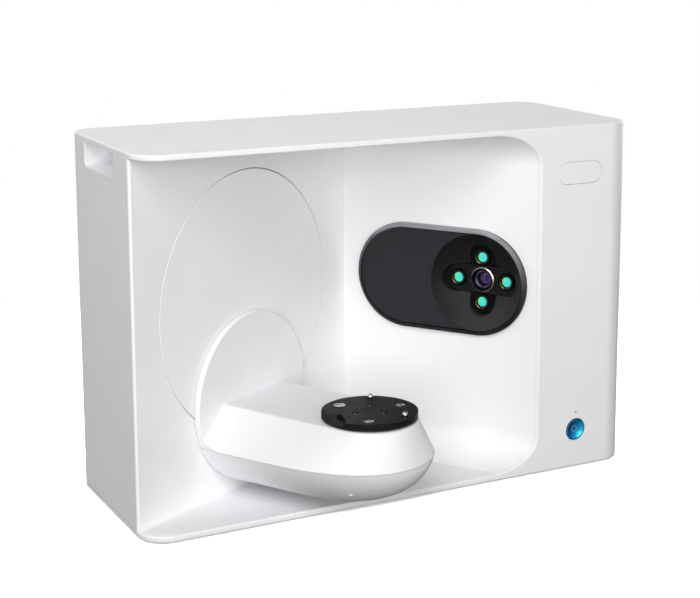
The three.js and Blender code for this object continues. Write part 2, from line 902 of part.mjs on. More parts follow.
// A square motor with cut corners, a pilot boss and a bore for its shaft, its face at zero height
function motor(side, length) {
  const half = side / 2;
  const body = prism([
    [half - motorCornerCut, -half],
    [half, motorCornerCut - half],
    [half, half - motorCornerCut],
    [half - motorCornerCut, half],
    [motorCornerCut - half, half],
    [-half, half - motorCornerCut],
    [-half, motorCornerCut - half],
    [motorCornerCut - half, -half],
  ], -length, 0);
  const pilot = bar(motorPilotRadius, -overrun, motorPilotLength, smallRound);
  const bore = bar(motorShaftRadius + seat, -motorShaftGrip - seat, motorPilotLength + overrun, smallRound);
  return cut(join(body, pilot), bore);
}

const swingMotor = addPiece(swingAxis, 'swing_motor', motor(swingMotorSide, swingMotorLength), blackPlastic);
swingMotor.position.set(0, pinionUp, frameBack - seat);

// Toothed wheels with involute flanks
function toothHalfAngle(teeth, radius) {
  const pitchRadius = (gearModule * teeth) / 2;
  const baseRadius = pitchRadius * Math.cos(pressureAngle);
  const involute = (angle) => Math.tan(angle) - angle;
  const pressureHere = Math.acos(Math.min(1, baseRadius / radius));
  const atPitch = Math.PI / (2 * teeth) - gearBacklash / (4 * pitchRadius);
  return atPitch + involute(pressureAngle) - involute(pressureHere);
}

function gearOutline(teeth, phase, flankSteps) {
  const pitchRadius = (gearModule * teeth) / 2;
  const root = pitchRadius - gearModule * dedendumShare;
  const tip = pitchRadius + gearModule * addendumShare;
  const radii = Array.from({ length: flankSteps + 1 }, (_, k) => root + ((tip - root) * k) / flankSteps);
  return Array.from({ length: teeth }, (_, tooth) => {
    const middle = phase + (tooth * Math.PI * 2) / teeth;
    const rising = radii.map((radius) => [radius, middle - toothHalfAngle(teeth, radius)]);
    const falling = radii.map((radius) => [radius, middle + toothHalfAngle(teeth, radius)]).reverse();
    return [...rising, ...falling].map(([radius, angle]) => [
      radius * Math.cos(angle),
      radius * Math.sin(angle),
    ]);
  }).flat();
}

const pinionShaftEnd = frameBack - seat - motorShaftGrip;
const swingPinion = addPiece(swingAxis, 'swing_pinion', join(
  prism(gearOutline(pinionTeeth, Math.PI / pinionTeeth - Math.PI / 2, 2), gearFront - gearWidth, gearFront),
  bar(motorShaftRadius, pinionShaftEnd, gearFront - gearWidth / 2, smallRound),
), steel);
swingPinion.position.set(0, pinionUp, 0);

// Swing drive: pieces that swing with the arm
function swingDisc() {
  const body = turned([
    [0, 0],
    [discRadius - discEdge, 0],
    [discRadius, -discEdge],
    [discRadius, -discRimDepth],
    [discRadius - discRimWall, -discRimDepth],
    [discRadius - discRimWall, -discThickness],
    [discBossRadius, -discThickness],
    [discBossRadius, -discBossDepth],
    [0, -discBossDepth],
  ], finelyRound);
  const cableHole = bar(
    cableHoleRadius,
    -discBossDepth,
    overrun,
    smallRound,
    0,
    cableHoleHeight - swingAxisHeight,
  );
  return cut(body, cableHole);
}

addPiece(swingAxis, 'swing_disc', swingDisc(), innerWhite);

addPiece(swingAxis, 'swing_hub', turned([
  [hubBoreRadius, hubFront],
  [hubFlangeRadius, hubFront],
  [hubFlangeRadius, hubSeatFront],
  [hubSeatRadius, hubSeatFront],
  [hubSeatRadius, hubSeatEnd],
  [hubJournalRadius, hubSeatEnd],
  [hubJournalRadius, hubSeatEnd - hubJournalLength],
  [hubBoreRadius, hubSeatEnd - hubJournalLength],
], hiddenRound), steel);

addPiece(swingAxis, 'swing_gear', cut(
  prism(gearOutline(gearTeeth, Math.PI / 2, 1), gearFront - gearWidth, gearFront),
  bar(hubSeatRadius + seat, gearFront - gearWidth - overrun, gearFront + overrun, hiddenRound),
), brass);

// Swing arm. Its frame has X across the arm, -Y out from the wall and Z up.
const arm = new THREE.Group();
arm.position.set(swingAxisAlong, 0, 0);
arm.rotation.x = -Math.PI / 2;
swingSide.add(arm);

const flangeBack = seat;
const flangeFace = flangeBack + flangeThickness;
const armEnd = armTipStart + armTipReach;
const keelLevel = flangeCentreHeight - flangeRadius;
const topFall = (armTopRootHeight - armTopTipHeight) / (plateOut + armTopRadius - flangeFace);
const armTopAt = (out) => armTopRootHeight - topFall * (out - flangeFace);

// Plan outlines of the arm: a flared root, straight flanks and a round or fuller tip
const partingPlan = {
  half: armHalfWidth,
  tipStart: armTipStart,
  reach: armTipReach,
  power: armTipPower,
  blend: armRootBlend,
};
const topPlan = {
  half: armTopRadius,
  tipStart: plateOut,
  reach: armTopRadius,
  power: 2,
  blend: armTopBlend,
};

function armOutline(plan, inset, root) {
  const half = plan.half - inset;
  const blend = plan.blend + inset;
  const full = (value) => Math.sign(value) * Math.abs(value) ** (2 / plan.power);
  const flare = arc(half + blend, root + blend, blend, blend, -Math.PI / 2, -Math.PI, 5);
  const tip = arc(0, 0, 1, 1, 0, Math.PI, round / 2).map(([x, out]) => [
    half * full(x),
    plan.tipStart + (plan.reach - inset) * full(out),
  ]);
  const otherFlare = flare.map(([x, out]) => [-x, out]).reverse();
  return [...flare, ...tip, ...otherFlare];
}

function armBody(inset, bottom, root, topDrop) {
  const parting = armOutline(partingPlan, inset, root);
  const top = armOutline(topPlan, inset, root);
  return loft([
    ...(bottom < partingHeight ? [parting.map(([x, out]) => [x, -out, bottom])] : []),
    parting.map(([x, out]) => [x, -out, partingHeight]),
    top.map(([x, out]) => [x, -out, armTopAt(out) - topDrop]),
  ]);
}

// Everything on the arm stays inside the flange's circle at the root and may pass it further out
function armRootLimit() {
  const wide = flangeRadius + armRootRelief;
  return turned([
    [0, flangeBack],
    [flangeRadius, flangeBack],
    [flangeRadius, flangeFace],
    [wide, flangeFace + armRootBlend],
    [wide, armEnd + overrun],
    [0, armEnd + overrun],
  ], finelyRound).rotateX(Math.PI / 2).translate(0, 0, flangeCentreHeight);
}

// The room in front of the flange that the limit above leaves within the arm's skin
function armHollowLimit() {
  const narrow = flangeRadius - armSkin;
  const wide = narrow + armRootRelief;
  return turned([
    [0, flangeFace],
    [narrow, flangeFace],
    [wide, flangeFace + armRootBlend],
    [wide, armEnd + overrun],
    [0, armEnd + overrun],
  ], finelyRound).rotateX(Math.PI / 2).translate(0, 0, flangeCentreHeight);
}

// A bar that runs out along the arm at the given height
const barOut = (radius, from, to, height, sides) => (
  bar(radius, from, to, sides).rotateX(Math.PI / 2).translate(0, 0, height)
);

function armUpperShell() {
  const rim = barOut(flangeRadius, flangeBack, flangeFace, flangeCentreHeight, finelyRound);
  const root = flangeFace - flangeThickness / 2;
  const body = common(armBody(0, partingHeight, root, 0), armRootLimit());
  const hollow = common(armBody(armSkin, partingHeight - overrun, root - armSkin, armSkin), armHollowLimit());
  const posts = [postRootOut, postTipOut].flatMap((out) => [-postAcross, postAcross].map((across) => (
    bar(postRadius, armFrameLevel + armFrameThickness + seat, armTopAt(out) - armSkin / 2, smallRound, across, -out)
  )));
  const skinned = cut(join(rim, body), hollow);
  const belowParting = block(
    [-bodyWidth, -bodyWidth, -bodyHeight],
    [bodyWidth, bodyWidth, partingHeight + seat / 2],
  );
  const spindleHole = bar(
    spindleFlangeRadius + seat * 3,
    armTopTipHeight - armSkin * 3,
    armTopRootHeight + overrun,
    round,
    0,
    -plateOut,
  );
  const cableHole = barOut(cableHoleRadius, -overrun, flangeFace + armSkin, cableHoleHeight, smallRound);
  return cut(join(skinned, ...posts), belowParting, spindleHole, cableHole);
}

addPiece(arm, 'arm_upper_shell', armUpperShell(), whiteShell);

// Lower shell: round sections like a boat's hull, as deep as the flange and closing at the tip
const hullOutShares = [0, 0.13, 0.3, 0.47, 0.56, 0.63, 0.69, 0.75, 0.81, 0.865, 0.91, 0.95, 0.98, 0.996];

function hullSection(out, inset, steps) {
  const pastStart = Math.max(0, (out - armTipStart) / armTipReach);
  const half = armHalfWidth * (1 - pastStart ** armTipPower) ** (1 / armTipPower);
  const pastKeel = Math.max(0, (out - keelOut) / (armEnd - keelOut));
  const depth = (partingHeight - keelLevel) * Math.sqrt(1 - pastKeel ** 2);
  const sectionRadius = (half ** 2 + depth ** 2) / (2 * depth);
  const middle = partingHeight - depth + sectionRadius;
  const reach = Math.asin(half / sectionRadius);
  const curve = sectionRadius - inset;
  const points = arc(0, middle, curve, curve, -Math.PI / 2 - reach, reach - Math.PI / 2, steps);
  const [[left]] = points;
  return [[left, partingHeight + overrun], ...points, [-left, partingHeight + overrun]];
}

function hullBody(inset, steps) {
  const start = flangeBack + inset;
  const end = armEnd - inset;
  const outlines = hullOutShares.map((share) => {
    const section = hullSection(flangeBack + (armEnd - flangeBack) * share, inset, steps);
    return atLevel(section, start + (end - start) * share);
  });
  return loft(outlines).rotateX(Math.PI / 2);
}

const hullScrews = [
  [hullScrewRootAcross, hullScrewRootOut],
  [hullScrewTipAcross, hullScrewTipOut],
].flatMap(([across, out]) => [[-across, -out], [across, -out]]);

function armLowerShell() {
  const aboveParting = block(
    [-bodyWidth, -bodyWidth, partingHeight - seat / 2],
    [bodyWidth, bodyWidth, bodyHeight],
  );
  const screwHoles = hullScrews.map(([x, y]) => (
    bar(hullScrewRadius, 0, partingHeight, smallRound, x, y)
  ));
  const outside = common(hullBody(0, 14), armRootLimit());
  return cut(outside, hullBody(armSkin, 8), aboveParting, ...screwHoles);
}

addPiece(arm, 'arm_lower_shell', armLowerShell(), whiteShell);

// Inner frame of the arm with the turntable's bearing seat and the motor's place
const spindleBearingOuter = spindleRadius + seat + spindleBearingWall;
const armFrameTop = armFrameLevel + armFrameThickness;

function armFrame() {
  const length = armFrameTipOut - armFrameRootOut;
  const plan = roundedRectangle(armFrameHalfWidth * 2, length, armFrameCorner, 4);
  const plate = prism(plan, armFrameLevel, armFrameTop).translate(0, -armFrameRootOut - length / 2, 0);
  const bossTop = armFrameTop + seat + spindleBearingHeight;
  const boss = bar(spindleBearingOuter + seat + spindleBossWall, armFrameLevel, bossTop, hiddenRound, 0, -plateOut);
  return cut(
    join(plate, boss),
    bar(spindleBearingOuter + seat, armFrameTop, bossTop + overrun, hiddenRound, 0, -plateOut),
    bar(spindleRadius + seat * 3, armFrameLevel - overrun, bossTop, hiddenRound, 0, -plateOut),
    bar(motorPilotRadius + seat, armFrameLevel - overrun, armFrameTop + overrun, smallRound, 0, -plateMotorOut),
  );
}

addPiece(arm, 'arm_frame', armFrame(), aluminium);

const plateMotor = addPiece(arm, 'plate_motor', motor(plateMotorSide, plateMotorHeight), blackPlastic);
plateMotor.position.set(0, -plateMotorOut, armFrameLevel - seat);

// Turntable drive: shaft, pulleys, belt, bearing and spindle
const pulleyTop = pulleyLevel + pulleyHeight;
const motorShaftBottom = armFrameLevel - seat - motorShaftGrip;

const motorShaft = addPiece(arm, 'plate_motor_shaft', bar(motorShaftRadius, motorShaftBottom, pulleyTop, smallRound), steel);
motorShaft.position.y = -plateMotorOut;

function pulley(bore, radius, sides) {
  const rim = radius + pulleyFlangeRise;
  return turned([
    [bore, pulleyLevel],
    [rim, pulleyLevel],
    [rim, pulleyLevel + pulleyFlange],
    [radius, pulleyLevel + pulleyFlange],
    [radius, pulleyTop - pulleyFlange],
    [rim, pulleyTop - pulleyFlange],
    [rim, pulleyTop],
    [bore, pulleyTop],
  ], sides);
}

const motorPulley = addPiece(
  arm,
  'plate_motor_pulley',
  pulley(motorShaftRadius + seat, motorPulleyRadius, smallRound),
  aluminium,
);
motorPulley.position.y = -plateMotorOut;

const platePulley = addPiece(arm, 'plate_pulley', pulley(spindleRadius + seat, platePulleyRadius, hiddenRound), aluminium);
platePulley.position.y = -plateOut;

// Outline of a belt round the two pulleys, at a given distance from their faces
function beltOutline(gap) {
  const lean = Math.asin((platePulleyRadius - motorPulleyRadius) / (plateOut - plateMotorOut));
  const large = platePulleyRadius + gap;
  const small = motorPulleyRadius + gap;
  return [
    ...arc(0, -plateOut, large, large, Math.PI - lean, Math.PI * 2 + lean, smallRound),
    ...arc(0, -plateMotorOut, small, small, lean, Math.PI - lean, smallRound),
  ];
}

addPiece(arm, 'plate_belt', cut(
  prism(beltOutline(seat + beltThickness), pulleyLevel + pulleyFlange + seat, pulleyTop - pulleyFlange - seat),
  prism(beltOutline(seat), pulleyLevel - overrun, pulleyTop + overrun),
), rubber);

const plateBearing = addPiece(arm, 'plate_bearing', bearing(
  spindleRadius + seat,
  spindleBearingOuter,
  armFrameTop + seat,
  armFrameTop + spindleBearingHeight,
  bearingGrooveDepth,
  hiddenRound,
), steel);
plateBearing.position.y = -plateOut;

const plateSpindle = addPiece(arm, 'plate_spindle', turned([
  [0, armFrameTop + seat],
  [spindleRadius, armFrameTop + seat],
  [spindleRadius, plateLevel - seat - spindleFlangeThickness],
  [spindleFlangeRadius, plateLevel - seat - spindleFlangeThickness],
  [spindleFlangeRadius, plateLevel - seat],
  [0, plateLevel - seat],
], hiddenRound), steel);
plateSpindle.position.y = -plateOut;

// Turntable plate with magnets, pins, key holes and the notch in its rim
const turntable = new THREE.Group();
turntable.position.y = -plateOut;
arm.add(turntable);

const plateTop = plateLevel + plateThickness;
const magnetAngles = [93, -27, -147].map(THREE.MathUtils.degToRad);
const pinAngles = [33, -87].map(THREE.MathUtils.degToRad);
const notchAngle = THREE.MathUtils.degToRad(155);
const onCircle = (radius, angle) => [radius * Math.cos(angle), radius * Math.sin(angle)];

// A sloping flat on the rim, and a slot beside it that opens at the rim
function plateNotch() {
  const outer = plateRadius + overrun;
  const inner = notchFlat - overrun;
  const slope = prismAlongX([
    [notchFlat, plateTop],
    [plateRadius, plateLevel + notchRim],
    [outer, plateLevel + notchRim],
    [outer, plateTop + overrun],
    [notchFlat, plateTop + overrun],
  ], -outer, outer).rotateZ(-Math.PI / 2);
  const besideSlot = prism([
    [inner, -outer],
    [outer, -outer],
    [outer, slotMouthAlong],
    [slotMouthOut, slotMouthAlong],
    [notchFlat, slotStart],
    [inner, slotStart],
  ], plateLevel, plateTop + overrun * 2);
  const slot = prism([
    [notchFlat - slotStepDepth, slotStart],
    [notchFlat + seat, slotStart],
    [slotMouthOut + seat, slotMouthAlong],
    [notchFlat, slotRampEnd],
  ], plateTop - slotDepth, plateTop + overrun);
  return [common(slope, besideSlot), slot].map((tool) => tool.rotateZ(notchAngle));
}

function turntablePlate() {
  const body = turned([
    [0, plateLevel],
    [plateRadius - plateEdge, plateLevel],
    [plateRadius, plateLevel + plateEdge],
    [plateRadius, plateTop - plateEdge],
    [plateRadius - plateEdge, plateTop],
    [0, plateTop],
  ], finelyRound);
  const magnetFloor = plateTop - magnetRecess - magnetThickness - seat;
  const magnetPockets = magnetAngles.map((angle) => (
    bar(magnetRadius + seat, magnetFloor, plateTop + overrun, smallRound, ...onCircle(magnetCircle, angle))
  ));
  const pinHoles = pinAngles.map((angle) => (
    bar(pinRadius + seat, plateTop - pinSunk - seat, plateTop + overrun, smallRound, ...onCircle(pinCircle, angle))
  ));
  const keyHoles = [...pinAngles, notchAngle].map((angle) => (
    bar(keyHoleRadius, plateTop - keyHoleDepth, plateTop + overrun, smallRound, ...onCircle(keyHoleCircle, angle))
  ));
  return cut(body, ...magnetPockets, ...pinHoles, ...keyHoles, ...plateNotch());
}

addPiece(turntable, 'turntable_plate', turntablePlate(), blackPlastic);

magnetAngles.forEach((angle, index) => {
  const top = plateTop - magnetRecess;
  const magnet = addPiece(turntable, `plate_magnet_${index + 1}`, turned([
    [0, top - magnetThickness],
    [magnetRadius, top - magnetThickness],
    [magnetRadius, top - magnetRecess],
    [magnetRadius - magnetRecess, top],
    [0, top],
  ], smallRound), steel);
  magnet.position.set(...onCircle(magnetCircle, angle), 0);
});

pinAngles.forEach((angle, index) => {
  const shoulder = plateTop + pinRise - pinRadius;
  const dome = arc(0, shoulder, pinRadius, pinRadius, 0, Math.PI / 2, 3);
  const pin = addPiece(turntable, `plate_pin_${index + 1}`, turned([
    [0, plateTop - pinSunk],
    [pinRadius - pinWaist, plateTop - pinSunk],
    [pinRadius - pinWaist, plateTop],
    [pinRadius, plateTop + pinWaist],
    ...dome.slice(0, -1),
    [0, plateTop + pinRise],
  ], smallRound), steel);
  pin.position.set(...onCircle(pinCircle, angle), 0);
});

// Camera head
scanner.add(cameraSide);
const head = new THREE.Group();
head.position.set(headAlong, headHeight, 0);
cameraSide.add(head);
const eye = new THREE.Group();
eye.position.set(headHalfStraight, 0, 0);
head.add(eye);

const faceLevel = headRise - headFaceRecess;

function headHousing() {
  const outside = (inset) => stadium(headHalfStraight, headRadius - inset);
  const rim = stepped(outside, [
    [seat, 0],
    [seat + headSideRise, 0],
    [headRise, headBevel],
  ]);
  const throughWall = prism(stadium(headHalfStraight, headBodyRadius), -headBodyDepth, seat + headSideRise);
  const faceSeat = prism(stadium(headHalfStraight, headFaceRadius + headFaceGap), faceLevel, headRise + overrun);
  const frontWall = faceLevel - headShell;
  const hollow = prism(
    stadium(headHalfStraight, headBodyRadius - headShell),
    -headBodyDepth - overrun,
    frontWall,
  );
  const opticsBore = bar(opticsRadius + seat, -headBodyDepth, headRise, finelyRound, headHalfStraight, 0);
  return cut(join(rim, throughWall), faceSeat, hollow, opticsBore);
}

addPiece(head, 'head_housing', headHousing(), darkFace);

const faceFront = faceLevel + seat + headFaceThickness;

addPiece(head, 'head_face', cut(
  prism(stadium(headHalfStraight, headFaceRadius), faceLevel + seat, faceFront),
  bar(headFaceRadius + seat, 0, headRise + overrun, finelyRound, headHalfStraight, 0),
), darkFace);

// Concave optics block: a round dish with a bar pocket, two lens pockets and five bores
const dishSphere = (dishRadius ** 2 + dishDepth ** 2) / (2 * dishDepth);
const barFront = faceFront - barSink;
const barBack = barFront - barThickness;
const lensPlaces = [
  ['left', -lensAcross, 0],
  ['right', lensAcross, 0],
  ['top', 0, lensUp],
  ['bottom', 0, -lensUp],
];

function dish() {
  const middle = faceFront - dishDepth + dishSphere;
  const edgeAngle = Math.asin(dishRadius / dishSphere);
  const bowl = arc(0, middle, dishSphere, dishSphere, -Math.PI / 2, edgeAngle - Math.PI / 2, dishRings);
  return turned([...bowl, [dishRadius, faceFront + overrun], [0, faceFront + overrun]], finelyRound);
}

function opticsBlock() {
  const body = join(
    bar(opticsRadius, -opticsBack, faceFront, finelyRound),
    bar(headFaceRadius, faceLevel + seat, faceFront, finelyRound),
  );
  const pocketFloor = barBack - seat;
  const barPocket = prism(stadium(barHalfStraight, barRadius + seat), pocketFloor, faceFront + overrun);
  const lensPockets = [lensUp, -lensUp].map((up) => join(
    bar(pocketRadius, pocketFloor, faceFront + overrun, round, 0, up),
    block(
      [-pocketRadius, Math.min(0, up), pocketFloor],
      [pocketRadius, Math.max(0, up), faceFront + overrun],
    ),
  ));
  const bores = lensPlaces.map(([, x, y]) => (
    bar(barrelRadius + seat, -opticsBack - overrun, faceFront, smallRound, x, y)
  ));
  const projectorBore = bar(projectorRadius + seat, -opticsBack - overrun, faceFront, round);
  return cut(body, dish(), barPocket, ...lensPockets, ...bores, projectorBore);
}

addPiece(eye, 'optics_block', opticsBlock(), blackPlastic);

addPiece(eye, 'lens_bar', cut(
  prism(stadium(barHalfStraight, barRadius), barBack, barFront),
  bar(projectorRadius + seat, barBack - overrun, barFront + overrun, round),
  bar(barLensHoleRadius, barBack - overrun, barFront + overrun, round, -lensAcross, 0),
  bar(barLensHoleRadius, barBack - overrun, barFront + overrun, round, lensAcross, 0),
), blackPlastic);

// Four cameras: a barrel with a stepped mouth and a coated lens
const barrelFront = barFront + barrelLipRise;
const lensFront = barrelFront - lensSink;
const lensBack = lensFront - lensThickness;

function cameraBarrel() {
  const mouth = barrelRadius - (barrelRadius - barrelBore) / 3;
  return turned([
    [0, -barrelBack],
    [barrelRadius, -barrelBack],
    [barrelRadius, barrelFront],
    [mouth, barrelFront],
    [barrelBore, lensFront],
    [barrelBore, lensBack - seat],
    [0, lensBack - seat],
  ], smallRound);
}

function domedLens(radius, back, front, crown, sides) {
  const sphere = (radius ** 2 + crown ** 2) / (2 * crown);
  const reach = Math.asin(radius / sphere);
  const dome = arc(0, front - sphere, sphere, sphere, Math.PI / 2 - reach, Math.PI / 2, 2);
  return turned([[0, back], [radius, back], ...dome.slice(0, -1), [0, front]], sides);
}

for (const [place, x, y] of lensPlaces) {
  const barrel = addPiece(eye, `camera_barrel_${place}`, cameraBarrel(), blackPlastic);
  barrel.position.set(x, y, 0);
  const lens = addPiece(
    eye,
    `camera_lens_${place}`,
    domedLens(barrelBore - seat, lensBack, lensFront, lensCrown, smallRound),
    coatedGlass,
  );
  lens.position.set(x, y, 0);
}

// Projector: a barrel with a bright ring, a stepped throat and a deep lens
const projectorFront = barFront + projectorRise;
const ringBack = barFront + seat;
const projectorLensFront = projectorFront - projectorLensSink;
const projectorLensBack = projectorLensFront - lensThickness;

addPiece(eye, 'projector_barrel', turned([
  [0, -barrelBack],
  [projectorRadius, -barrelBack],
  [projectorRadius, ringBack],
  [projectorRingRadius, ringBack],
  [projectorRingRadius, ringBack + projectorRingThickness],
  [projectorRadius, projectorFront],
  [projectorMouthRadius, projectorFront],
  [projectorMouthRadius, projectorFront - projectorStepDepth],
  [(projectorMouthRadius + projectorThroatRadius) / 2, projectorFront - projectorStepDepth],
  [(projectorMouthRadius + projectorThroatRadius) / 2, projectorFront - projectorStepDepth * 2],
  [projectorThroatRadius, projectorFront - projectorStepDepth * 2],
  [projectorThroatRadius, projectorLensBack - seat],
  [0, projectorLensBack - seat],
], round), brass);

addPiece(eye, 'projector_lens', domedLens(
  projectorThroatRadius - seat,
  projectorLensBack,
  projectorLensFront,
  lensCrown * 2,
  smallRound,
), violetGlass);

// Power button in its bezel, status light and bare badge
scanner.add(frontSide);
const bezelInner = buttonRadius + seat;
const bezelOuter = bezelInner + bezelRing;
const flangeAt = -wall - seat;

const bezel = addPiece(frontSide, 'button_bezel', turned([
  [bezelInner, bezelProud],
  [bezelOuter, bezelProud],
  [bezelOuter, flangeAt],
  [bezelOuter + bezelFlange, flangeAt],
  [bezelOuter + bezelFlange, flangeAt - bezelFloor],
  [bezelOuter, flangeAt - bezelFloor],
  [bezelOuter, -bezelDepth],
  [buttonStemRadius + seat, -bezelDepth],
  [buttonStemRadius + seat, bezelFloor - bezelDepth],
  [bezelInner, bezelFloor - bezelDepth],
], round), whiteShell);
bezel.position.set(buttonX, buttonHeight, 0);

function buttonCap() {
  const sphere = (buttonRadius ** 2 + buttonDish ** 2) / (2 * buttonDish);
  const reach = Math.asin(buttonRadius / sphere);
  const hollow = arc(0, sphere - buttonSink - buttonDish, sphere, sphere, -Math.PI / 2, reach - Math.PI / 2, 3);
  return turned([
    ...hollow,
    [buttonRadius, -buttonCapDepth],
    [buttonStemRadius, -buttonCapDepth],
    [buttonStemRadius, -buttonCapDepth - buttonStemLength],
    [0, -buttonCapDepth - buttonStemLength],
  ], round);
}

const button = addPiece(frontSide, 'power_button', buttonCap(), blueMetal);
button.position.set(buttonX, buttonHeight, 0);

const light = addPiece(frontSide, 'status_light', bar(lightRadius, -lightLength, 0, smallRound), paleLight);
light.position.set(buttonX, lightHeight, 0);

const badgeBack = seat - badgePocket;
const badge = addPiece(frontSide, 'badge_inset', prism(
  stadium(badgeHalfStraight, badgeRadius, smallRound / 2),
  badgeBack,
  badgeBack + badgeThickness,
), whiteShell);
badge.position.set(badgeX, badgeHeight, 0);

// The arm's tip reaches out of the opening, so the housing stands back by half of that
const armFoot = swingEdge.clone().addScaledVector(swingDirection, swingAxisAlong);
const tipReach = armOutline(partingPlan, 0, 0).map(([x, out]) => (
  out * Math.cos(swingWallAngle) - x * Math.sin(swingWallAngle)
));
const armReach = frontY - armFoot.y + Math.max(...tipReach);
scanner.position.set(0, armReach / 2, footHeight);

export default scanner;
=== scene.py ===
import json
import math

import bmesh
import bpy
from mathutils import Matrix, Vector


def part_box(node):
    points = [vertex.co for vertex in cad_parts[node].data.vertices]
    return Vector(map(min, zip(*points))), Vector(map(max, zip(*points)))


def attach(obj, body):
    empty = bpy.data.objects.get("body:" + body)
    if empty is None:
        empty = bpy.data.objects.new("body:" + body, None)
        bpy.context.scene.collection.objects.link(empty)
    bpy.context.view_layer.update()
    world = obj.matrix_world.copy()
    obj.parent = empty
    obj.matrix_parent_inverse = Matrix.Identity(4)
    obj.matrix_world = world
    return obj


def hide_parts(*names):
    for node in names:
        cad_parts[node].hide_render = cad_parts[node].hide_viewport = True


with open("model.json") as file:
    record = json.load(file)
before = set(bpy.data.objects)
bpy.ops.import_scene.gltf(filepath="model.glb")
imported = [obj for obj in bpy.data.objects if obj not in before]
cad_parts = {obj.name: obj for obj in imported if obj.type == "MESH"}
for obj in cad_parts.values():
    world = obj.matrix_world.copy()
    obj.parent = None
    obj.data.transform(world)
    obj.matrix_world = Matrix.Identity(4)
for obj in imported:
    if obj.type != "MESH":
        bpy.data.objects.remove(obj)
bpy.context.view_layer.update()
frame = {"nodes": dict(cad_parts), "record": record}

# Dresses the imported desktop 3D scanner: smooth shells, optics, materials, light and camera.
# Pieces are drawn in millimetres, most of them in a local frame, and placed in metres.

for packed in list(bpy.data.materials):
    bpy.data.materials.remove(packed)

# Metres in a millimetre, how far cutters run past a face, and the gap where pieces meet
MM = 0.001
OVERRUN = 5.0
SEAT = 0.3
SHARP_ANGLE = math.radians(34)
WELD = 1e-4
FACET_WELD = 1e-6
ORIGIN = Matrix.Identity(4)
SIDES = ((-1, "left"), (1, "right"))

# Housing
BODY_WIDTH = 505.0
BODY_DEPTH = 195.6
BODY_HEIGHT = 340.0
PANEL = 5.4
WALL = 3.0
LINER = 3.0
CORNER_RADIUS = 26.4
TOP_EDGE = 1.6
BASE_EDGE = 0.8
SMALL_EDGE = 0.45
COLUMN_WIDTH = 106.3
SWING_EDGE_SETBACK = 23.9
INNER_CORNER_GAP = 17.35
INNER_CORNER_SHARE = 0.6941
FILLET_REACH = 41.0
FILLET_RISE = 31.0
NOSE_RADIUS = 1.9
OPENING_EDGE = 1.6
FLOOR_FILLET = 5.0
FILLET_TIP = 0.4
SEAM_DEPTH = 4.0
SEAM_WIDTH = 0.45
SEAM_HOLE_RADIUS = 0.8
SEAM_DROP = 0.6
SEAM_START = 4.0

# Handle recesses
GRIP_LENGTH = 84.0
GRIP_HEIGHT = 22.4
GRIP_DEPTH = 24.0
GRIP_WALL = 2.5
GRIP_Y = 6.0
GRIP_CORNER = 5.5
GRIP_SCOOP = 9.0
GRIP_STEPS = 14

# Swing disc and arm
DISC_LOW_MARGIN = 53.6
DISC_RADIUS = 123.2
DISC_SHIFT = -0.4
DISC_GAP = 0.8
DISC_THICKNESS = 3.0
DISC_RIM_DEPTH = 8.0
DISC_RIM_WALL = 3.0
DISC_BOSS_RADIUS = 34.0
DISC_BOSS_DEPTH = 12.0
FLANGE_RADIUS = 79.7
FLANGE_THICKNESS = 6.2
FLANGE_CENTRE = 91.0
FLANGE_EDGE = 0.9
FLANGE_GAP = 0.8
FLANGE_GAP_DEPTH = 2.0
PARTING = 57.6
ARM_TRIM = 0.2
ARM_HALF = 74.3 - ARM_TRIM
ARM_TIP_START = 80.5
ARM_TIP_REACH = 115.0 - ARM_TRIM
ARM_TIP_POWER = 2.3
ARM_ROOT_BLEND = 26.0
ARM_ROOT_RELIEF = 2.8
ARM_TOP_ROOT = 93.0
ARM_TOP_TIP = 90.2
ARM_TOP_RADIUS = 44.5
ARM_TOP_BLEND = 2.0
ARM_TOP_EDGE = 2.4
ARM_SEAM = 0.45
ARM_SKIN = 2.6
KEEL_OUT = 100.0
HULL_SCREWS = ((56.0, 24.0), (45.0, 148.0))
HULL_SCREW_RADIUS = 2.2
HULL_END_SHARE = 0.996

# Turntable
PLATE_OUT = 138.0
PLATE_RADIUS = 43.8
PLATE_THICKNESS = 6.2
PLATE_LEVEL = 91.8
PLATE_EDGE = 0.7
SPINDLE_FLANGE_RADIUS = 15.0
MAGNET_RADIUS = 5.6
MAGNET_THICKNESS = 1.5
MAGNET_CIRCLE = 32.0
MAGNET_RECESS = 0.2
MAGNET_GROOVE_SHARES = (0.72, 0.62, 0.5, 0.42)
MAGNET_CENTRE_SHARE = 0.2
MAGNET_ANGLES = (93, -27, -147)
PIN_CIRCLE = 36.5
PIN_RADIUS = 2.7
PIN_RISE = 4.2
PIN_SUNK = 3.0
PIN_WAIST = 0.8
PIN_ANGLES = (33, -87)
KEY_HOLE_RADIUS = 2.9
KEY_HOLE_CIRCLE = 15.0
KEY_HOLE_DEPTH = 3.0
KEY_SCREW_RADIUS = 1.5
KEY_SCREW_SINK = 0.35
NOTCH_ANGLE = 155
KEY_HOLE_ANGLES = (*PIN_ANGLES, NOTCH_ANGLE)
NOTCH_FLAT = 33.0
NOTCH_RIM = 1.5
SLOT_STEP = 4.5
SLOT_START = -3.4
SLOT_RAMP_END = 14.5
SLOT_MOUTH = (43.0, 23.7)
SLOT_DEPTH = 3.4

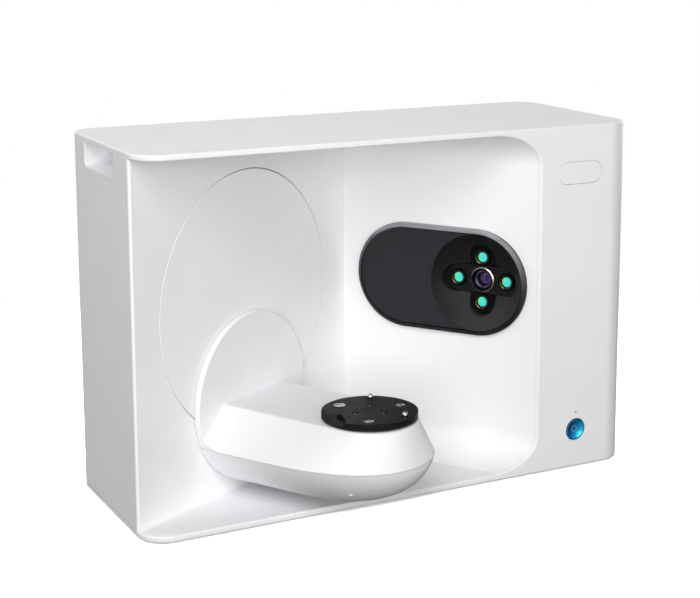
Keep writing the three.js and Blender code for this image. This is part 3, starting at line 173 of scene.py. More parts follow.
# Camera head
HEAD_SHIFT = 3.2
HEAD_LIFT = 14.1
HEAD_RADIUS = 52.9
HEAD_HALF = 38.9
HEAD_RISE = 6.0
HEAD_SIDE_RISE = 4.0
HEAD_BEVEL = 3.9
HEAD_SIDE_ROUND = ((0.6, 0), (0.2, 0.15), (0, 0.5))
HEAD_TOP_ROUND = (0.15, 0.6)
HEAD_BODY_RADIUS = 49.5
HEAD_BODY_DEPTH = 24.0
FACE_RECESS = 3.2
FACE_THICKNESS = 2.4
FACE_RADIUS = 48.0
FACE_GAP = 1.0
HEAD_SHELL = 3.0
OPTICS_RADIUS = 45.7
OPTICS_BACK = 21.5
DISH_RADIUS = 47.4
DISH_DEPTH = 24.0
LENS_ACROSS = 25.85
LENS_UP = 22.4
POCKET_RADIUS = 13.7
BAR_RADIUS = 13.8
BAR_HALF = 26.0
BAR_THICKNESS = 3.0
BAR_SINK = 17.6
BAR_LENS_HOLE = 9.0
BARREL_RADIUS = 7.3
BARREL_BORE = 5.6
BARREL_BACK = 24.0
BARREL_LIP = 1.7
LENS_SINK = 1.0
LENS_THICKNESS = 2.4
LENS_CROWN = 0.7
LENS_RIM_FADE = (4.4, 5.0)
COPPER_RING = (1.6, 0.6)
PROJECTOR_RADIUS = 10.7
PROJECTOR_RING = 12.5
PROJECTOR_RING_THICKNESS = 1.0
PROJECTOR_RISE = 2.0
PROJECTOR_MOUTH = 9.8
PROJECTOR_THROAT = 7.2
PROJECTOR_STEP = 2.6
PROJECTOR_LENS_SINK = 9.0
POCKET_SHADE = (-15.3, -14.2)

# Controls
BUTTON_INSET = 61.7
BUTTON_HEIGHT = 37.3
BUTTON_RADIUS = 11.05
BUTTON_SINK = 0.3
BUTTON_DISH = 2.0
BUTTON_CAP = 6.0
BUTTON_RIM = 1.3
BUTTON_RING = (2.5, 3.3)
BUTTON_RING_RISE = 0.12
BEZEL_RISE = 0.3
BEZEL_FIT = 0.1
BUTTON_STEM = 3.0
BUTTON_STEM_LENGTH = 11.0
BEZEL_RING = 0.8
LIGHT_RISE = 17.6
LIGHT_RADIUS = 1.1
BADGE_INSET = 61.8
BADGE_DROP = 45.8
BADGE_RADIUS = 10.65
BADGE_HALF = 14.25
BADGE_GAP = 0.35
BADGE_POCKET = 1.9
BADGE_THICKNESS = 1.5

# Numbers of flat sides and steps
FINE = 144
ROUND = 96
SMALL = 48
CORNER_STEPS = 20
DOME_STEPS = 8
FLARE_STEPS = 12

# Floor and background: white to the camera, dimmer in reflections and dark as a light
FLOOR_SIZE = 12.0
FLOOR_FADE = (0.45, 0.9)
FLOOR_COLOUR = (0.18, 0.18, 0.18)
FLOOR_TO_CAMERA = (3.0, 3.0, 3.0)
SEEN_WHITE = 1.0
REFLECTED_WHITE = 0.3
AMBIENT = 0.0

# Square lamps that look at the middle of the scanner: name, place, width, watts
LOOK_AT = Vector((0, 0, 0.17))
LAMPS = (
    ("key_left", (-1.6, -2.4, 0.6), 1.5, 38.5),
    ("key_high", (-0.9, -1.3, 1.5), 1.0, 19.0),
    ("front", (0.2, -2.0, 0.5), 1.2, 13.4),
    ("rear_left", (-1.6, 1.0, 1.3), 1.2, 15.5),
    ("rear_top", (0.4, 1.0, 1.8), 1.2, 15.0),
    ("rear_right", (1.9, 0.7, 0.6), 1.2, 15.0),
)

# Camera, solved on the photograph. Its place is in the housing's frame.
IMAGE_WIDTH = 700
SENSOR = 36.0
CAMERA_PLACE = (-685.28, -1366.55, 542.26)
CAMERA_YAW = 0.504
CAMERA_PITCH = 0.174
CAMERA_ROLL = 0.0041
FOCAL_PIXELS = 1617.16
SHIFT = (-0.1, -0.15)

# Levels and edges that follow from the sizes above
FLOOR = PANEL
CEILING = BODY_HEIGHT - PANEL
MIDDLE = (FLOOR + CEILING) / 2
FRONT_Y = -BODY_DEPTH / 2
REAR_Y = BODY_DEPTH / 2
SIDE_X = BODY_WIDTH / 2
REAR_CORNER_X = SIDE_X - CORNER_RADIUS
REAR_CORNER_Y = REAR_Y - CORNER_RADIUS
OPENING_X = SIDE_X - COLUMN_WIDTH


# Outlines

def arc(x, y, across, up, start, end, steps):
    """Points on part of an ellipse, with angles in degrees."""
    angles = [math.radians(start + (end - start) * k / steps) for k in range(steps + 1)]
    return [(x + across * math.cos(a), y + up * math.sin(a)) for a in angles]


def rounded_rectangle(width, depth, radius, steps=CORNER_STEPS):
    points = []
    for quarter, (across, along) in enumerate(((1, -1), (1, 1), (-1, 1), (-1, -1))):
        x = across * (width / 2 - radius)
        y = along * (depth / 2 - radius)
        start = (quarter - 1) * 90
        points += arc(x, y, radius, radius, start, start + 90, steps)
    return points


def stadium(half, radius, steps=ROUND // 2):
    return arc(half, 0, radius, radius, -90, 90, steps) + arc(-half, 0, radius, radius, 90, 270, steps)


def quarter(steps):
    """Angles from nothing to a right angle, in radians."""
    return [math.radians(90 * k / steps) for k in range(steps + 1)]


def rounded_corner(radius, height, steps=5):
    """Rows of (height, inset) for an edge that rounds off upwards to the given height."""
    return [(height - radius * (1 - math.sin(a)), radius * (1 - math.cos(a))) for a in quarter(steps)]


def ball_radius(radius, depth):
    """Radius of the ball that a round cap of this radius and depth is cut from."""
    return (radius ** 2 + depth ** 2) / (2 * depth)


def rotation(degrees, axis):
    return Matrix.Rotation(math.radians(degrees), 4, axis)


def add_object(name, data):
    made = bpy.data.objects.new(name, data)
    bpy.context.scene.collection.objects.link(made)
    return made


# Closed bodies. Each is an object at the origin whose mesh is in millimetres in the part's frame.

def body(points, faces, place=ORIGIN):
    mesh = bpy.data.meshes.new("body")
    mesh.from_pydata([place @ Vector(p) for p in points], [], faces)
    welded = bmesh.new()
    welded.from_mesh(mesh)
    bmesh.ops.remove_doubles(welded, verts=welded.verts, dist=WELD)
    bmesh.ops.recalc_face_normals(welded, faces=welded.faces)
    welded.to_mesh(mesh)
    welded.free()
    return add_object("body", mesh)


def loft(outlines, place=ORIGIN):
    """A closed skin through outlines that have the same number of points."""
    count = len(outlines[0])
    faces = []
    for level in range(len(outlines) - 1):
        for k in range(count):
            here = level * count + k
            after = level * count + (k + 1) % count
            faces.append((here, after, after + count, here + count))
    last = (len(outlines) - 1) * count
    faces.append(tuple(reversed(range(count))))
    faces.append(tuple(range(last, last + count)))
    return body([p for outline in outlines for p in outline], faces, place)


def stepped(outline_at, rows, place=ORIGIN):
    return loft([[(x, y, height) for x, y in outline_at(inset)] for height, inset in rows], place)


def prism(outline, low, high, place=ORIGIN):
    return loft([[(x, y, z) for x, y in outline] for z in (low, high)], place)


def prism_along_x(outline, low, high, place=ORIGIN):
    return loft([[(x, y, z) for y, z in outline] for x in (low, high)], place)


def block(low, high, place=ORIGIN):
    corners = [(low[0], low[1]), (high[0], low[1]), (high[0], high[1]), (low[0], high[1])]
    return prism(corners, low[2], high[2], place)


def turned(profile, sides, place=ORIGIN):
    """A body turned about Z through (radius, height) points, closed on the axis or as a ring."""
    profile = list(dict.fromkeys(profile))
    points = []
    rings = []
    for radius, height in profile:
        if radius < WELD:
            rings.append([len(points)])
            points.append((0, 0, height))
        else:
            rings.append(list(range(len(points), len(points) + sides)))
            turns = [2 * math.pi * k / sides for k in range(sides)]
            points += [(radius * math.cos(t), radius * math.sin(t), height) for t in turns]
    pairs = list(zip(rings, rings[1:]))
    if len(rings[0]) > 1 and len(rings[-1]) > 1:
        pairs.append((rings[-1], rings[0]))
    faces = []
    for lower, upper in pairs:
        for k in range(sides):
            ring = [lower[k % len(lower)], lower[(k + 1) % len(lower)]]
            ring += [upper[(k + 1) % len(upper)], upper[k % len(upper)]]
            face = list(dict.fromkeys(ring))
            if len(face) > 2:
                faces.append(face)
    return body(points, faces, place)


def bar(radius, low, high, sides, place=ORIGIN, x=0.0, y=0.0):
    outline = arc(x, y, radius, radius, 0, 360 - 360 / sides, sides - 1)
    return prism(outline, low, high, place)


def settle(made):
    """Applies the modifiers."""
    bpy.context.view_layer.update()
    shown = made.evaluated_get(bpy.context.evaluated_depsgraph_get())
    mesh = bpy.data.meshes.new_from_object(shown)
    made.modifiers.clear()
    made.data = mesh
    return made


def combine(made, tools, operation):
    for tool in tools:
        step = made.modifiers.new("combine", "BOOLEAN")
        step.operation = operation
        step.solver = "EXACT"
        step.object = tool
    settle(made)
    for tool in tools:
        bpy.data.objects.remove(tool)
    return made


def cut(made, *tools):
    return combine(made, tools, "DIFFERENCE")


def join(made, *tools):
    return combine(made, tools, "UNION")


def common(made, *tools):
    return combine(made, tools, "INTERSECT")


def soften(made, radius, segments=2):
    """Rounds every edge that turns by more than the sharp angle."""
    edge = made.modifiers.new("edge", "BEVEL")
    edge.width = radius
    edge.segments = segments
    edge.limit_method = "ANGLE"
    edge.angle_limit = SHARP_ANGLE
    edge.use_clamp_overlap = True
    return settle(made)


def piece(made, name, rides_on, material, place=ORIGIN, stands_for=()):
    """Names a body, moves its mesh to a local frame in metres and lets it ride on a CAD body."""
    made.data.transform(Matrix.Scale(MM, 4) @ place.inverted())
    at = place.copy()
    at.translation *= MM
    made.matrix_world = at
    made.name = name
    made.data.name = name
    made.data.polygons.foreach_set("use_smooth", [True] * len(made.data.polygons))
    made.data.set_sharp_from_angle(angle=SHARP_ANGLE)
    even = made.modifiers.new("even shading", "WEIGHTED_NORMAL")
    even.keep_sharp = True
    made.data.materials.clear()
    made.data.materials.append(material)
    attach(made, rides_on)
    if stands_for:
        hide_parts(*stands_for)
    return made


# Local frames in millimetres

base_low, base_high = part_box("base_panel")
HOUSING = Matrix.Translation((0, (base_low.y + base_high.y) / 2 / MM, base_low.z / MM))


def wall_frame(x, y, direction):
    """X along the wall, Y up and Z out of its face."""
    along = Vector((math.cos(direction), math.sin(direction), 0))
    out = Vector((math.sin(direction), -math.cos(direction), 0))
    turn = Matrix((along, (0, 0, 1), out)).transposed().to_4x4()
    return HOUSING @ Matrix.Translation((x, y, 0)) @ turn


def moved(place, x, y, z=0.0):
    return place @ Matrix.Translation((x, y, z))


swing_edge = Vector((-SIDE_X, FRONT_Y + SWING_EDGE_SETBACK))
opening_edge = Vector((OPENING_X, FRONT_Y))
inner_corner = Vector((
    swing_edge.x + (opening_edge.x - swing_edge.x) * INNER_CORNER_SHARE,
    REAR_Y - INNER_CORNER_GAP,
))
swing_run = inner_corner - swing_edge
camera_run = opening_edge - inner_corner
swing_angle = math.atan2(swing_run.y, swing_run.x)
camera_angle = math.atan2(camera_run.y, camera_run.x)
swing_direction = swing_run.normalized()
axis_along = swing_run.length / 2 + DISC_SHIFT
axis_height = FLOOR + DISC_LOW_MARGIN + DISC_RADIUS

FRONT_SIDE = wall_frame(0, FRONT_Y, 0)
SWING_SIDE = wall_frame(swing_edge.x, swing_edge.y, swing_angle)
CAMERA_SIDE = wall_frame(inner_corner.x, inner_corner.y, camera_angle)
SWING_AXIS = moved(SWING_SIDE, axis_along, axis_height)
ARM = moved(SWING_SIDE, axis_along, 0) @ rotation(-90, "X")
TURNTABLE = moved(ARM, 0, -PLATE_OUT)
HEAD = moved(CAMERA_SIDE, camera_run.length / 2 + HEAD_SHIFT, MIDDLE + HEAD_LIFT)
EYE = moved(HEAD, HEAD_HALF, 0)
BUTTON = moved(FRONT_SIDE, SIDE_X - BUTTON_INSET, BUTTON_HEIGHT)
LIGHT = moved(FRONT_SIDE, SIDE_X - BUTTON_INSET, BUTTON_HEIGHT + LIGHT_RISE)
BADGE = moved(FRONT_SIDE, SIDE_X - BADGE_INSET, BODY_HEIGHT - BADGE_DROP)


# Node trees and materials

class Nodes:
    """A node tree. An input, by name or number, takes a plain value or a socket to link from."""

    def __init__(self, tree, prefix="ShaderNode"):
        self.tree = tree
        self.prefix = prefix

    def fill(self, made, inputs):
        for key, value in inputs.items():
            if isinstance(value, bpy.types.NodeSocket):
                self.tree.links.new(value, made.inputs[key])
            else:
                made.inputs[key].default_value = value

    def node(self, kind, inputs=None, **settings):
        made = self.tree.nodes.new(self.prefix + kind)
        for key, value in settings.items():
            setattr(made, key, value)
        self.fill(made, inputs or {})
        return made

    def blend(self, factor, first, second):
        """A colour between two, where each is a socket or plain numbers."""
        pair = [(*colour, 1) if isinstance(colour, tuple) else colour for colour in (first, second)]
        inputs = {"Factor": factor, "A": pair[0], "B": pair[1]}
        return self.node("Mix", inputs, data_type="RGBA").outputs["Result"]

    def mixed(self, factor, first, second):
        return self.node("MixShader", {"Fac": factor, 1: first, 2: second}).outputs["Shader"]

    def sum(self, first, second, operation="ADD"):
        return self.node("Math", {0: first, 1: second}, operation=operation).outputs["Value"]

    def length(self, vector):
        return self.node("VectorMath", {0: vector}, operation="LENGTH").outputs["Value"]


class Surface(Nodes):
    """A Principled material whose grain, in millimetres, is drawn in the piece's own frame."""

    def __init__(self, name, roughness, metallic=0.0):
        self.material = bpy.data.materials.new(name)
        self.material.use_nodes = True
        super().__init__(self.material.node_tree)
        self.shader = self.tree.nodes["Principled BSDF"]
        self.shade({"Roughness": roughness, "Metallic": metallic})
        place = self.node("TexCoord").outputs["Object"]
        self.place = self.node("Mapping", {"Vector": place, "Scale": (1 / MM,) * 3}).outputs["Vector"]

    def shade(self, inputs):
        self.fill(self.shader, inputs)

    def paint(self, colour):
        self.shade({"Base Color": colour})

    def noise(self, size, detail, stretch=None):
        source = self.place
        if stretch:
            source = self.node("Mapping", {"Vector": source, "Scale": stretch}).outputs["Vector"]
        return self.node("TexNoise", {"Vector": source, "Scale": 1 / size, "Detail": detail}).outputs["Fac"]

    def along(self, axis):
        """Place along one of the piece's own axes, in millimetres."""
        return self.node("SeparateXYZ", {"Vector": self.place}).outputs[axis]

    def from_axis(self):
        """Distance from the piece's own Z axis, in millimetres."""
        flat = self.node("CombineXYZ", {"X": self.along("X"), "Y": self.along("Y")})
        return self.length(flat.outputs["Vector"])

    def spread(self, source, low, high, to_low=0.0, to_high=1.0):
        inputs = {"Value": source, "From Min": low, "From Max": high, "To Min": to_low, "To Max": to_high}
        return self.node("MapRange", inputs).outputs["Result"]

    def ramp(self, source, stops):
        made = self.node("ValToRGB", {"Fac": source})
        marks = made.color_ramp.elements
        while len(marks) < len(stops):
            marks.new(0.5)
        for mark, (position, colour) in zip(marks, stops):
            mark.position = position
            mark.color = (*colour, 1)
        return made.outputs["Color"]

    def bands(self, source, low, high, stops):
        return self.ramp(self.spread(source, low, high), stops)

    def slope(self, across, up, limit):
        """Runs with both axes from 0 to 1. Each axis has a half length, and its pull at that end."""
        x, y = (
            self.spread(self.along(axis), -half, half, -pull, pull)
            for axis, (half, pull) in (("X", across), ("Y", up))
        )
        return self.spread(self.sum(x, y), -limit, limit)

    def tint(self, source, colour, drift):
        """Base colour that drifts a little either side of the given one."""
        darker = [c * (1 - drift) for c in colour]
        lighter = [min(1.0, c * (1 + drift)) for c in colour]
        self.paint(self.ramp(source, ((0.3, darker), (0.7, lighter))))

    def gloss(self, source, low, high):
        self.shade({"Roughness": self.spread(source, 0.3, 0.7, low, high)})

    def bump(self, source, height):
        """Relief of the given height in millimetres."""
        made = self.node("Bump", {"Strength": 1.0, "Distance": height * MM, "Height": source})
        self.shade({"Normal": made.outputs["Normal"]})

    def wear(self, low, high, grain, relief):
        """Roughness that varies between two values, and a fine grain."""
        self.gloss(self.noise(0.5, 3.0), low, high)
        self.bump(self.noise(grain, 3.0), relief)


def moulded(name, colour, roughness, grain=0.35, relief=0.004, drift=0.012, shine=0.5):
    """Moulded plastic with a fine spark-eroded grain."""
    surface = Surface(name, roughness)
    surface.shade({"Specular IOR Level": shine})
    surface.tint(surface.noise(60.0, 3.0), colour, drift)
    surface.gloss(surface.noise(14.0, 4.0), roughness - 0.04, roughness + 0.05)
    surface.bump(surface.noise(grain, 3.0), relief)
    return surface


def machined(name, colour, roughness, stretch=None):
    """Metal with fine tool marks."""
    surface = Surface(name, roughness, 1.0)
    surface.tint(surface.noise(9.0, 3.0), colour, 0.05)
    marks = surface.noise(0.3, 4.0, stretch)
    surface.gloss(marks, roughness - 0.05, roughness + 0.05)
    surface.bump(marks, 0.006)
    return surface


def rim_with_painted_highlight():
    """Dark satin metal with a painted highlight: paler towards the top and a little at the head's end away
    from the eye, where light from above catches the rim.
    """
    surface = Surface("head_rim", 0.52, 0.8)
    # Painted highlight: the rim's colour turns pale towards its top and its far end.
    surface.paint(surface.ramp(surface.slope((HEAD_HALF + HEAD_RADIUS, -0.12), (HEAD_RADIUS, 1.0), 1.0), (
        (0.0, (0.026, 0.025, 0.028)),
        (0.4, (0.034, 0.033, 0.037)),
        (0.62, (0.08, 0.078, 0.084)),
        (0.88, (0.16, 0.158, 0.167)),
        (0.97, (0.4, 0.39, 0.41)),
    )))
    surface.wear(0.46, 0.56, 0.28, 0.005)
    return surface


def dish_black():
    """Matt black of the optics dish with painted shade: darker at its upper left and in the pockets, lighter
    towards its lower right.
    """
    surface = Surface("dish_black", 0.5)
    surface.shade({"Specular IOR Level": 0.12})
    # Painted shade: the bowl darkens towards its upper left and lightens towards its lower right.
    bowl = surface.ramp(surface.slope((DISH_RADIUS, 0.5), (-DISH_RADIUS, 0.8), 1.0), (
        (0.0, (0.010, 0.0098, 0.011)),
        (0.35, (0.012, 0.0118, 0.013)),
        (0.62, (0.018, 0.0175, 0.019)),
        (0.95, (0.05, 0.049, 0.052)),
    ))
    # Painted shade: the pockets and the deepest part of the dish turn almost black.
    pocket = surface.spread(surface.along("Z"), POCKET_SHADE[1], POCKET_SHADE[0])
    surface.paint(surface.blend(pocket, bowl, (0.003, 0.003, 0.0035)))
    surface.wear(0.44, 0.56, 0.3, 0.006)
    return surface


def ring_metal():
    """The projector's barrel: dark inside, with a pale band painted on its inner step as a highlight, and a
    pink and gold mouth ring.
    """
    surface = Surface("projector_metal", 0.28, 1.0)
    # Painted highlight: the pale band between 0.585 and 0.615 lies on the inner step.
    surface.paint(surface.bands(surface.from_axis(), 0.0, 14.0, (
        (0.0, (0.01, 0.01, 0.014)),
        (0.50, (0.03, 0.025, 0.05)),
        (0.585, (0.34, 0.31, 0.38)),
        (0.615, (0.05, 0.04, 0.07)),
        (0.70, (0.012, 0.01, 0.014)),
        (0.80, (0.012, 0.01, 0.012)),
        (0.845, (0.62, 0.47, 0.40)),
        (0.9, (0.8, 0.68, 0.6)),
    )))
    surface.wear(0.22, 0.36, 0.3, 0.004)
    return surface


def lens_with_painted_reflection():
    """Green coated lens with a painted reflection that turns from yellow-green at one side to blue at the
    other; it is dark at its rim and glows a little as painted light.
    """
    surface = Surface("coated_lens", 0.12)
    half = BARREL_BORE - SEAT
    # Painted reflection: yellow-green at one side, through turquoise, to blue at the other.
    side = surface.bands(surface.along("X"), -half, half, (
        (0.0, (0.24, 0.45, 0.10)),
        (0.16, (0.16, 0.62, 0.22)),
        (0.32, (0.05, 0.68, 0.44)),
        (0.75, (0.03, 0.66, 0.57)),
        (0.95, (0.10, 0.30, 0.55)),
    ))
    tint = surface.blend(surface.spread(surface.from_axis(), *LENS_RIM_FADE), side, (0.02, 0.04, 0.02))
    surface.paint(tint)
    # Painted light: the lens glows faintly in its own colours.
    surface.shade({
        "Specular IOR Level": 0.3,
        "Coat Weight": 0.3,
        "Coat Roughness": 0.03,
        "Emission Color": tint,
        "Emission Strength": 0.3,
    })
    return surface


def violet_glass():
    surface = Surface("projector_lens", 0.06)
    surface.shade({"Coat Weight": 1.0})
    surface.paint(surface.bands(surface.from_axis(), 0.0, 7.0, (
        (0.0, (0.02, 0.008, 0.065)),
        (0.45, (0.035, 0.013, 0.11)),
        (0.75, (0.12, 0.08, 0.25)),
        (0.82, (0.02, 0.015, 0.05)),
        (1.0, (0.02, 0.02, 0.04)),
    )))
    return surface


def blue_button():
    """Blue anodised cap with painted reflection: navy at its upper left and cyan at its lower right, a
    painted glint inside the rim, a pale ring, and a rim painted lighter at its upper left.
    """
    surface = Surface("blue_metal", 0.2, 0.5)
    radius = surface.from_axis()
    slope = surface.slope((BUTTON_RADIUS, 0.6), (-BUTTON_RADIUS, 0.4), 0.7)
    # Painted reflection: navy at the upper left turning to cyan at the lower right, where the concave cap
    # mirrors the lamp.
    cap = surface.ramp(slope, (
        (0.0, (0.001, 0.025, 0.10)),
        (0.3, (0.001, 0.08, 0.30)),
        (0.55, (0.001, 0.24, 0.62)),
        (0.9, (0.02, 0.68, 1.0)),
    ))
    black = (0, 0, 0)
    ring = surface.bands(radius, BUTTON_RING[0] - 0.4, BUTTON_RING[1] + 0.4, (
        (0.0, black), (0.35, (0.8,) * 3), (0.65, (0.8,) * 3), (1.0, black),
    ))
    cap = surface.blend(ring, cap, (0.25, 0.42, 0.6))
    inner_rim = BUTTON_RADIUS - BUTTON_RIM
    # Painted highlight: a pale arc just inside the rim at the upper left.
    glint = surface.bands(radius, inner_rim - 1.3, inner_rim, ((0.0, black), (0.5, (1, 1, 1)), (1.0, black)))
    glint = surface.sum(glint, surface.spread(slope, 0.35, 0.05), "MULTIPLY")
    cap = surface.blend(glint, cap, (0.45, 0.75, 0.95))
    # Painted light on the rim: lighter at its upper left, dark at its lower right.
    rim = surface.ramp(slope, ((0.1, (0.06, 0.22, 0.34)), (0.6, (0.002, 0.035, 0.10))))
    surface.paint(surface.blend(surface.spread(radius, inner_rim - 0.1, inner_rim + 0.2), cap, rim))
    turning = surface.node("TexNoise", noise_dimensions="1D")
    surface.fill(turning, {"W": radius, "Scale": 3.0})
    surface.gloss(turning.outputs["Fac"], 0.2, 0.3)
    surface.bump(turning.outputs["Fac"], 0.006)
    return surface


def copper_ring():
    surface = Surface("copper_ring", 0.25, 1.0)
    surface.tint(surface.noise(2.0, 2.0), (0.2, 0.15, 0.09), 0.1)
    surface.bump(surface.noise(0.2, 2.0), 0.003)
    return surface


# Name, colour, roughness, and where they differ from the usual: grain, relief, drift, shine
SURFACES = (
    moulded("white_shell", (0.865, 0.868, 0.882), 0.42),
    moulded("inner_white", (0.91, 0.912, 0.92), 0.46),
    moulded("head_dark", (0.024, 0.023, 0.027), 0.46, 0.28, 0.006, 0.06, 0.16),
    moulded("black_plastic", (0.008, 0.008, 0.0085), 0.5, 0.3, 0.005, 0.1, 0.12),
    moulded("foot_rubber", (0.02, 0.02, 0.021), 0.75, 0.8, 0.02, 0.1),
    moulded("belt_rubber", (0.012, 0.012, 0.012), 0.8, 0.8, 0.03, 0.1),
    moulded("board_green", (0.012, 0.1, 0.045), 0.5, 1.2, 0.02, 0.15),
    moulded("status_lens", (0.45, 0.46, 0.48), 0.3, drift=0.03),
    machined("bright_steel", (0.6, 0.59, 0.58), 0.12),
    machined("frame_aluminium", (0.5, 0.51, 0.53), 0.38, stretch=(0.05, 1, 1)),
    machined("gear_brass", (0.6, 0.42, 0.16), 0.3),
    rim_with_painted_highlight(),
    dish_black(),
    ring_metal(),
    lens_with_painted_reflection(),
    violet_glass(),
    blue_button(),
    copper_ring(),
)
FINISHES = {surface.material.name: surface.material for surface in SURFACES}
WHITE = FINISHES["white_shell"]
INNER = FINISHES["inner_white"]
DARK = FINISHES["head_dark"]
BLACK = FINISHES["black_plastic"]
STEEL = FINISHES["bright_steel"]


# Housing sleeve: base, top, left side and right column in one moulded skin

def opening_outline(depth, grow):
    slant = 1 / math.tan(camera_angle)
    across = FILLET_REACH / abs(math.sin(camera_angle))
    x = OPENING_X - across
    lower = arc(x, FLOOR + FILLET_RISE, across + grow, FILLET_RISE + grow, -90, 0, CORNER_STEPS)
    upper = arc(x, CEILING - FILLET_RISE, across + grow, FILLET_RISE + grow, 0, 90, CORNER_STEPS)
    left = -SIDE_X + CORNER_RADIUS - SEAT
    outline = [(left, CEILING + grow), (left, FLOOR - grow), *lower, *upper]
    return [(x + depth * slant, y, -depth) for x, y in outline]


def opening_cutter():
    rows = [opening_outline(-drop, inset) for drop, inset in rounded_corner(OPENING_EDGE, 0)]
    behind = opening_outline(WALL + OVERRUN, 0)
    before = opening_outline(-OVERRUN, OPENING_EDGE)
    return loft([behind, *rows, before], FRONT_SIDE)


def grip_outline(inset):
    """A recess with round lower corners that runs up to the underside of the top."""
    half = GRIP_LENGTH / 2 - inset
    low = CEILING - GRIP_HEIGHT + inset
    radius = GRIP_CORNER + inset / 2
    right = arc(GRIP_Y + half - radius, low + radius, radius, radius, -90, 0, 8)
    left = arc(GRIP_Y - half + radius, low + radius, radius, radius, 180, 270, 8)
    return [(GRIP_Y + half, CEILING), (GRIP_Y - half, CEILING), *left, *right]


def grip_notch(low, high):
    return prism_along_x(grip_outline(0), low, high, HOUSING)


def body_outline(inset):
    return rounded_rectangle(BODY_WIDTH - inset * 2, BODY_DEPTH - inset * 2, CORNER_RADIUS - inset)


nose_y = swing_edge.y + (LINER + SEAT / 2) / math.cos(swing_angle)


def left_front(low, high):
    """The open left corner, between two levels."""
    return block(
        (-SIDE_X - OVERRUN, FRONT_Y - OVERRUN, low), (-SIDE_X + CORNER_RADIUS, nose_y, high), HOUSING)


def corner_lip(at_floor):
    """What the round edge of the base or top panel leaves free at the open left corner."""
    def level(height):
        return height if at_floor else FLOOR + CEILING - height

    rows = [
        (FLOOR - OPENING_EDGE - SEAT, 0),
        *rounded_corner(OPENING_EDGE, FLOOR),
        (FLOOR + SEAT, OPENING_EDGE),
    ]
    kept = stepped(body_outline, [(level(height), inset) for height, inset in rows], HOUSING)
    ends = sorted((level(FLOOR - OPENING_EDGE), level(FLOOR + SEAT / 2)))
    return cut(left_front(*ends), kept)


def foot_seam(side, sunk, spare):
    """A fine groove near the foot of a side, and the small round hole where it ends."""
    outer = side * (SIDE_X - sunk)
    inner = side * (SIDE_X - SEAM_DEPTH)
    top = PANEL - SEAM_DROP
    start = nose_y + SEAM_START
    low, high = sorted((outer, inner))
    groove = block((low, start, top - SEAM_WIDTH), (high, REAR_CORNER_Y, top), HOUSING)
    across = moved(HOUSING, 0, start, top - SEAM_WIDTH / 2) @ rotation(90, "Y")
    hole = bar(SEAM_HOLE_RADIUS - spare, low, high, SMALL // 2, across)
    return join(groove, hole)


def sleeve():
    bottom = [(-height, inset) for height, inset in reversed(rounded_corner(BASE_EDGE, 0, 3))]
    shell = stepped(body_outline, [*bottom, *rounded_corner(TOP_EDGE, BODY_HEIGHT)], HOUSING)
    rear = block(
        (-REAR_CORNER_X, REAR_Y - WALL * 2, FLOOR), (REAR_CORNER_X, REAR_Y + OVERRUN, CEILING), HOUSING)
    shell = cut(
        shell,
        prism(body_outline(WALL), FLOOR, CEILING, HOUSING),
        left_front(FLOOR, CEILING),
        rear,
        opening_cutter(),
        corner_lip(True),
        corner_lip(False),
        prism(stadium(BADGE_HALF, BADGE_RADIUS + BADGE_GAP, SMALL), -BADGE_POCKET, OVERRUN, BADGE),
        bar(BUTTON_RADIUS + BEZEL_RING + SEAT * 2, -WALL - OVERRUN, OVERRUN, ROUND, BUTTON),
        bar(LIGHT_RADIUS + SEAT / 2, -WALL - OVERRUN, OVERRUN, SMALL, LIGHT),
        grip_notch(-SIDE_X - OVERRUN, -SIDE_X + WALL + OVERRUN),
        grip_notch(SIDE_X - WALL - OVERRUN, SIDE_X + OVERRUN),
    )
    return cut(soften(shell, SMALL_EDGE), *[foot_seam(side, -OVERRUN, 0) for side, where in SIDES])


piece(sleeve(), "housing_sleeve", "housing", WHITE,
      stands_for=("base_panel", "top_panel", "left_side_shell", "column_shell"))
# Painted shade: a dark strip inside each foot groove stands in for the shade there.
for side, where in SIDES:
    piece(foot_seam(side, SEAT, SEAT / 4), f"seam_painted_shade_{where}", "housing", DARK)


def grip_scoop(side):
    """The moulded pocket behind a handle opening, hollowed as one soft scoop."""
    x = SIDE_X - WALL - SEAT / 2
    half = GRIP_LENGTH / 2 + GRIP_WALL
    top = CEILING - SEAT / 2
    bottom = CEILING - GRIP_HEIGHT - GRIP_WALL
    outside = [(GRIP_Y - half, top), (GRIP_Y - half, bottom), (GRIP_Y + half, bottom), (GRIP_Y + half, top)]
    pocket = prism_along_x(outside, side * (x - GRIP_DEPTH), side * x, HOUSING)
    reach = GRIP_DEPTH - GRIP_WALL
    scoop = [(reach * math.sin(a), GRIP_SCOOP * (1 - math.cos(a))) for a in quarter(GRIP_STEPS)]
    hollow = loft([
        [(side * (x - depth), y, z) for y, z in grip_outline(inset)]
        for depth, inset in [(-OVERRUN, 0), *scoop]
    ], HOUSING)
    return cut(pocket, hollow)


for side, where in SIDES:
    piece(grip_scoop(side), f"grip_scoop_{where}", "housing", WHITE, stands_for=(f"{where}_grip",))


# Left inner wall, with a soft fillet to the floor

def swing_wall():
    side_rise = LINER / math.cos(swing_angle)
    inner = 90 - math.degrees(swing_angle)
    tangent = NOSE_RADIUS / math.tan(math.radians(inner / 2))
    nose = arc(NOSE_RADIUS - SIDE_X, swing_edge.y + tangent, NOSE_RADIUS, NOSE_RADIUS, 180, 360 - inner, 8)
    length = swing_run.length + LINER

    def along(distance, behind):
        point = swing_edge + swing_direction * distance
        return point.x - behind * swing_direction.y, point.y + behind * swing_direction.x

    outline = [*nose, along(length, 0), along(length, LINER), (-SIDE_X, swing_edge.y + side_rise)]
    wall = prism(outline, FLOOR, CEILING, HOUSING)
    hole = bar(DISC_RADIUS + DISC_GAP, -LINER - OVERRUN, OVERRUN, FINE, SWING_AXIS)
    return soften(cut(wall, hole), SEAT)


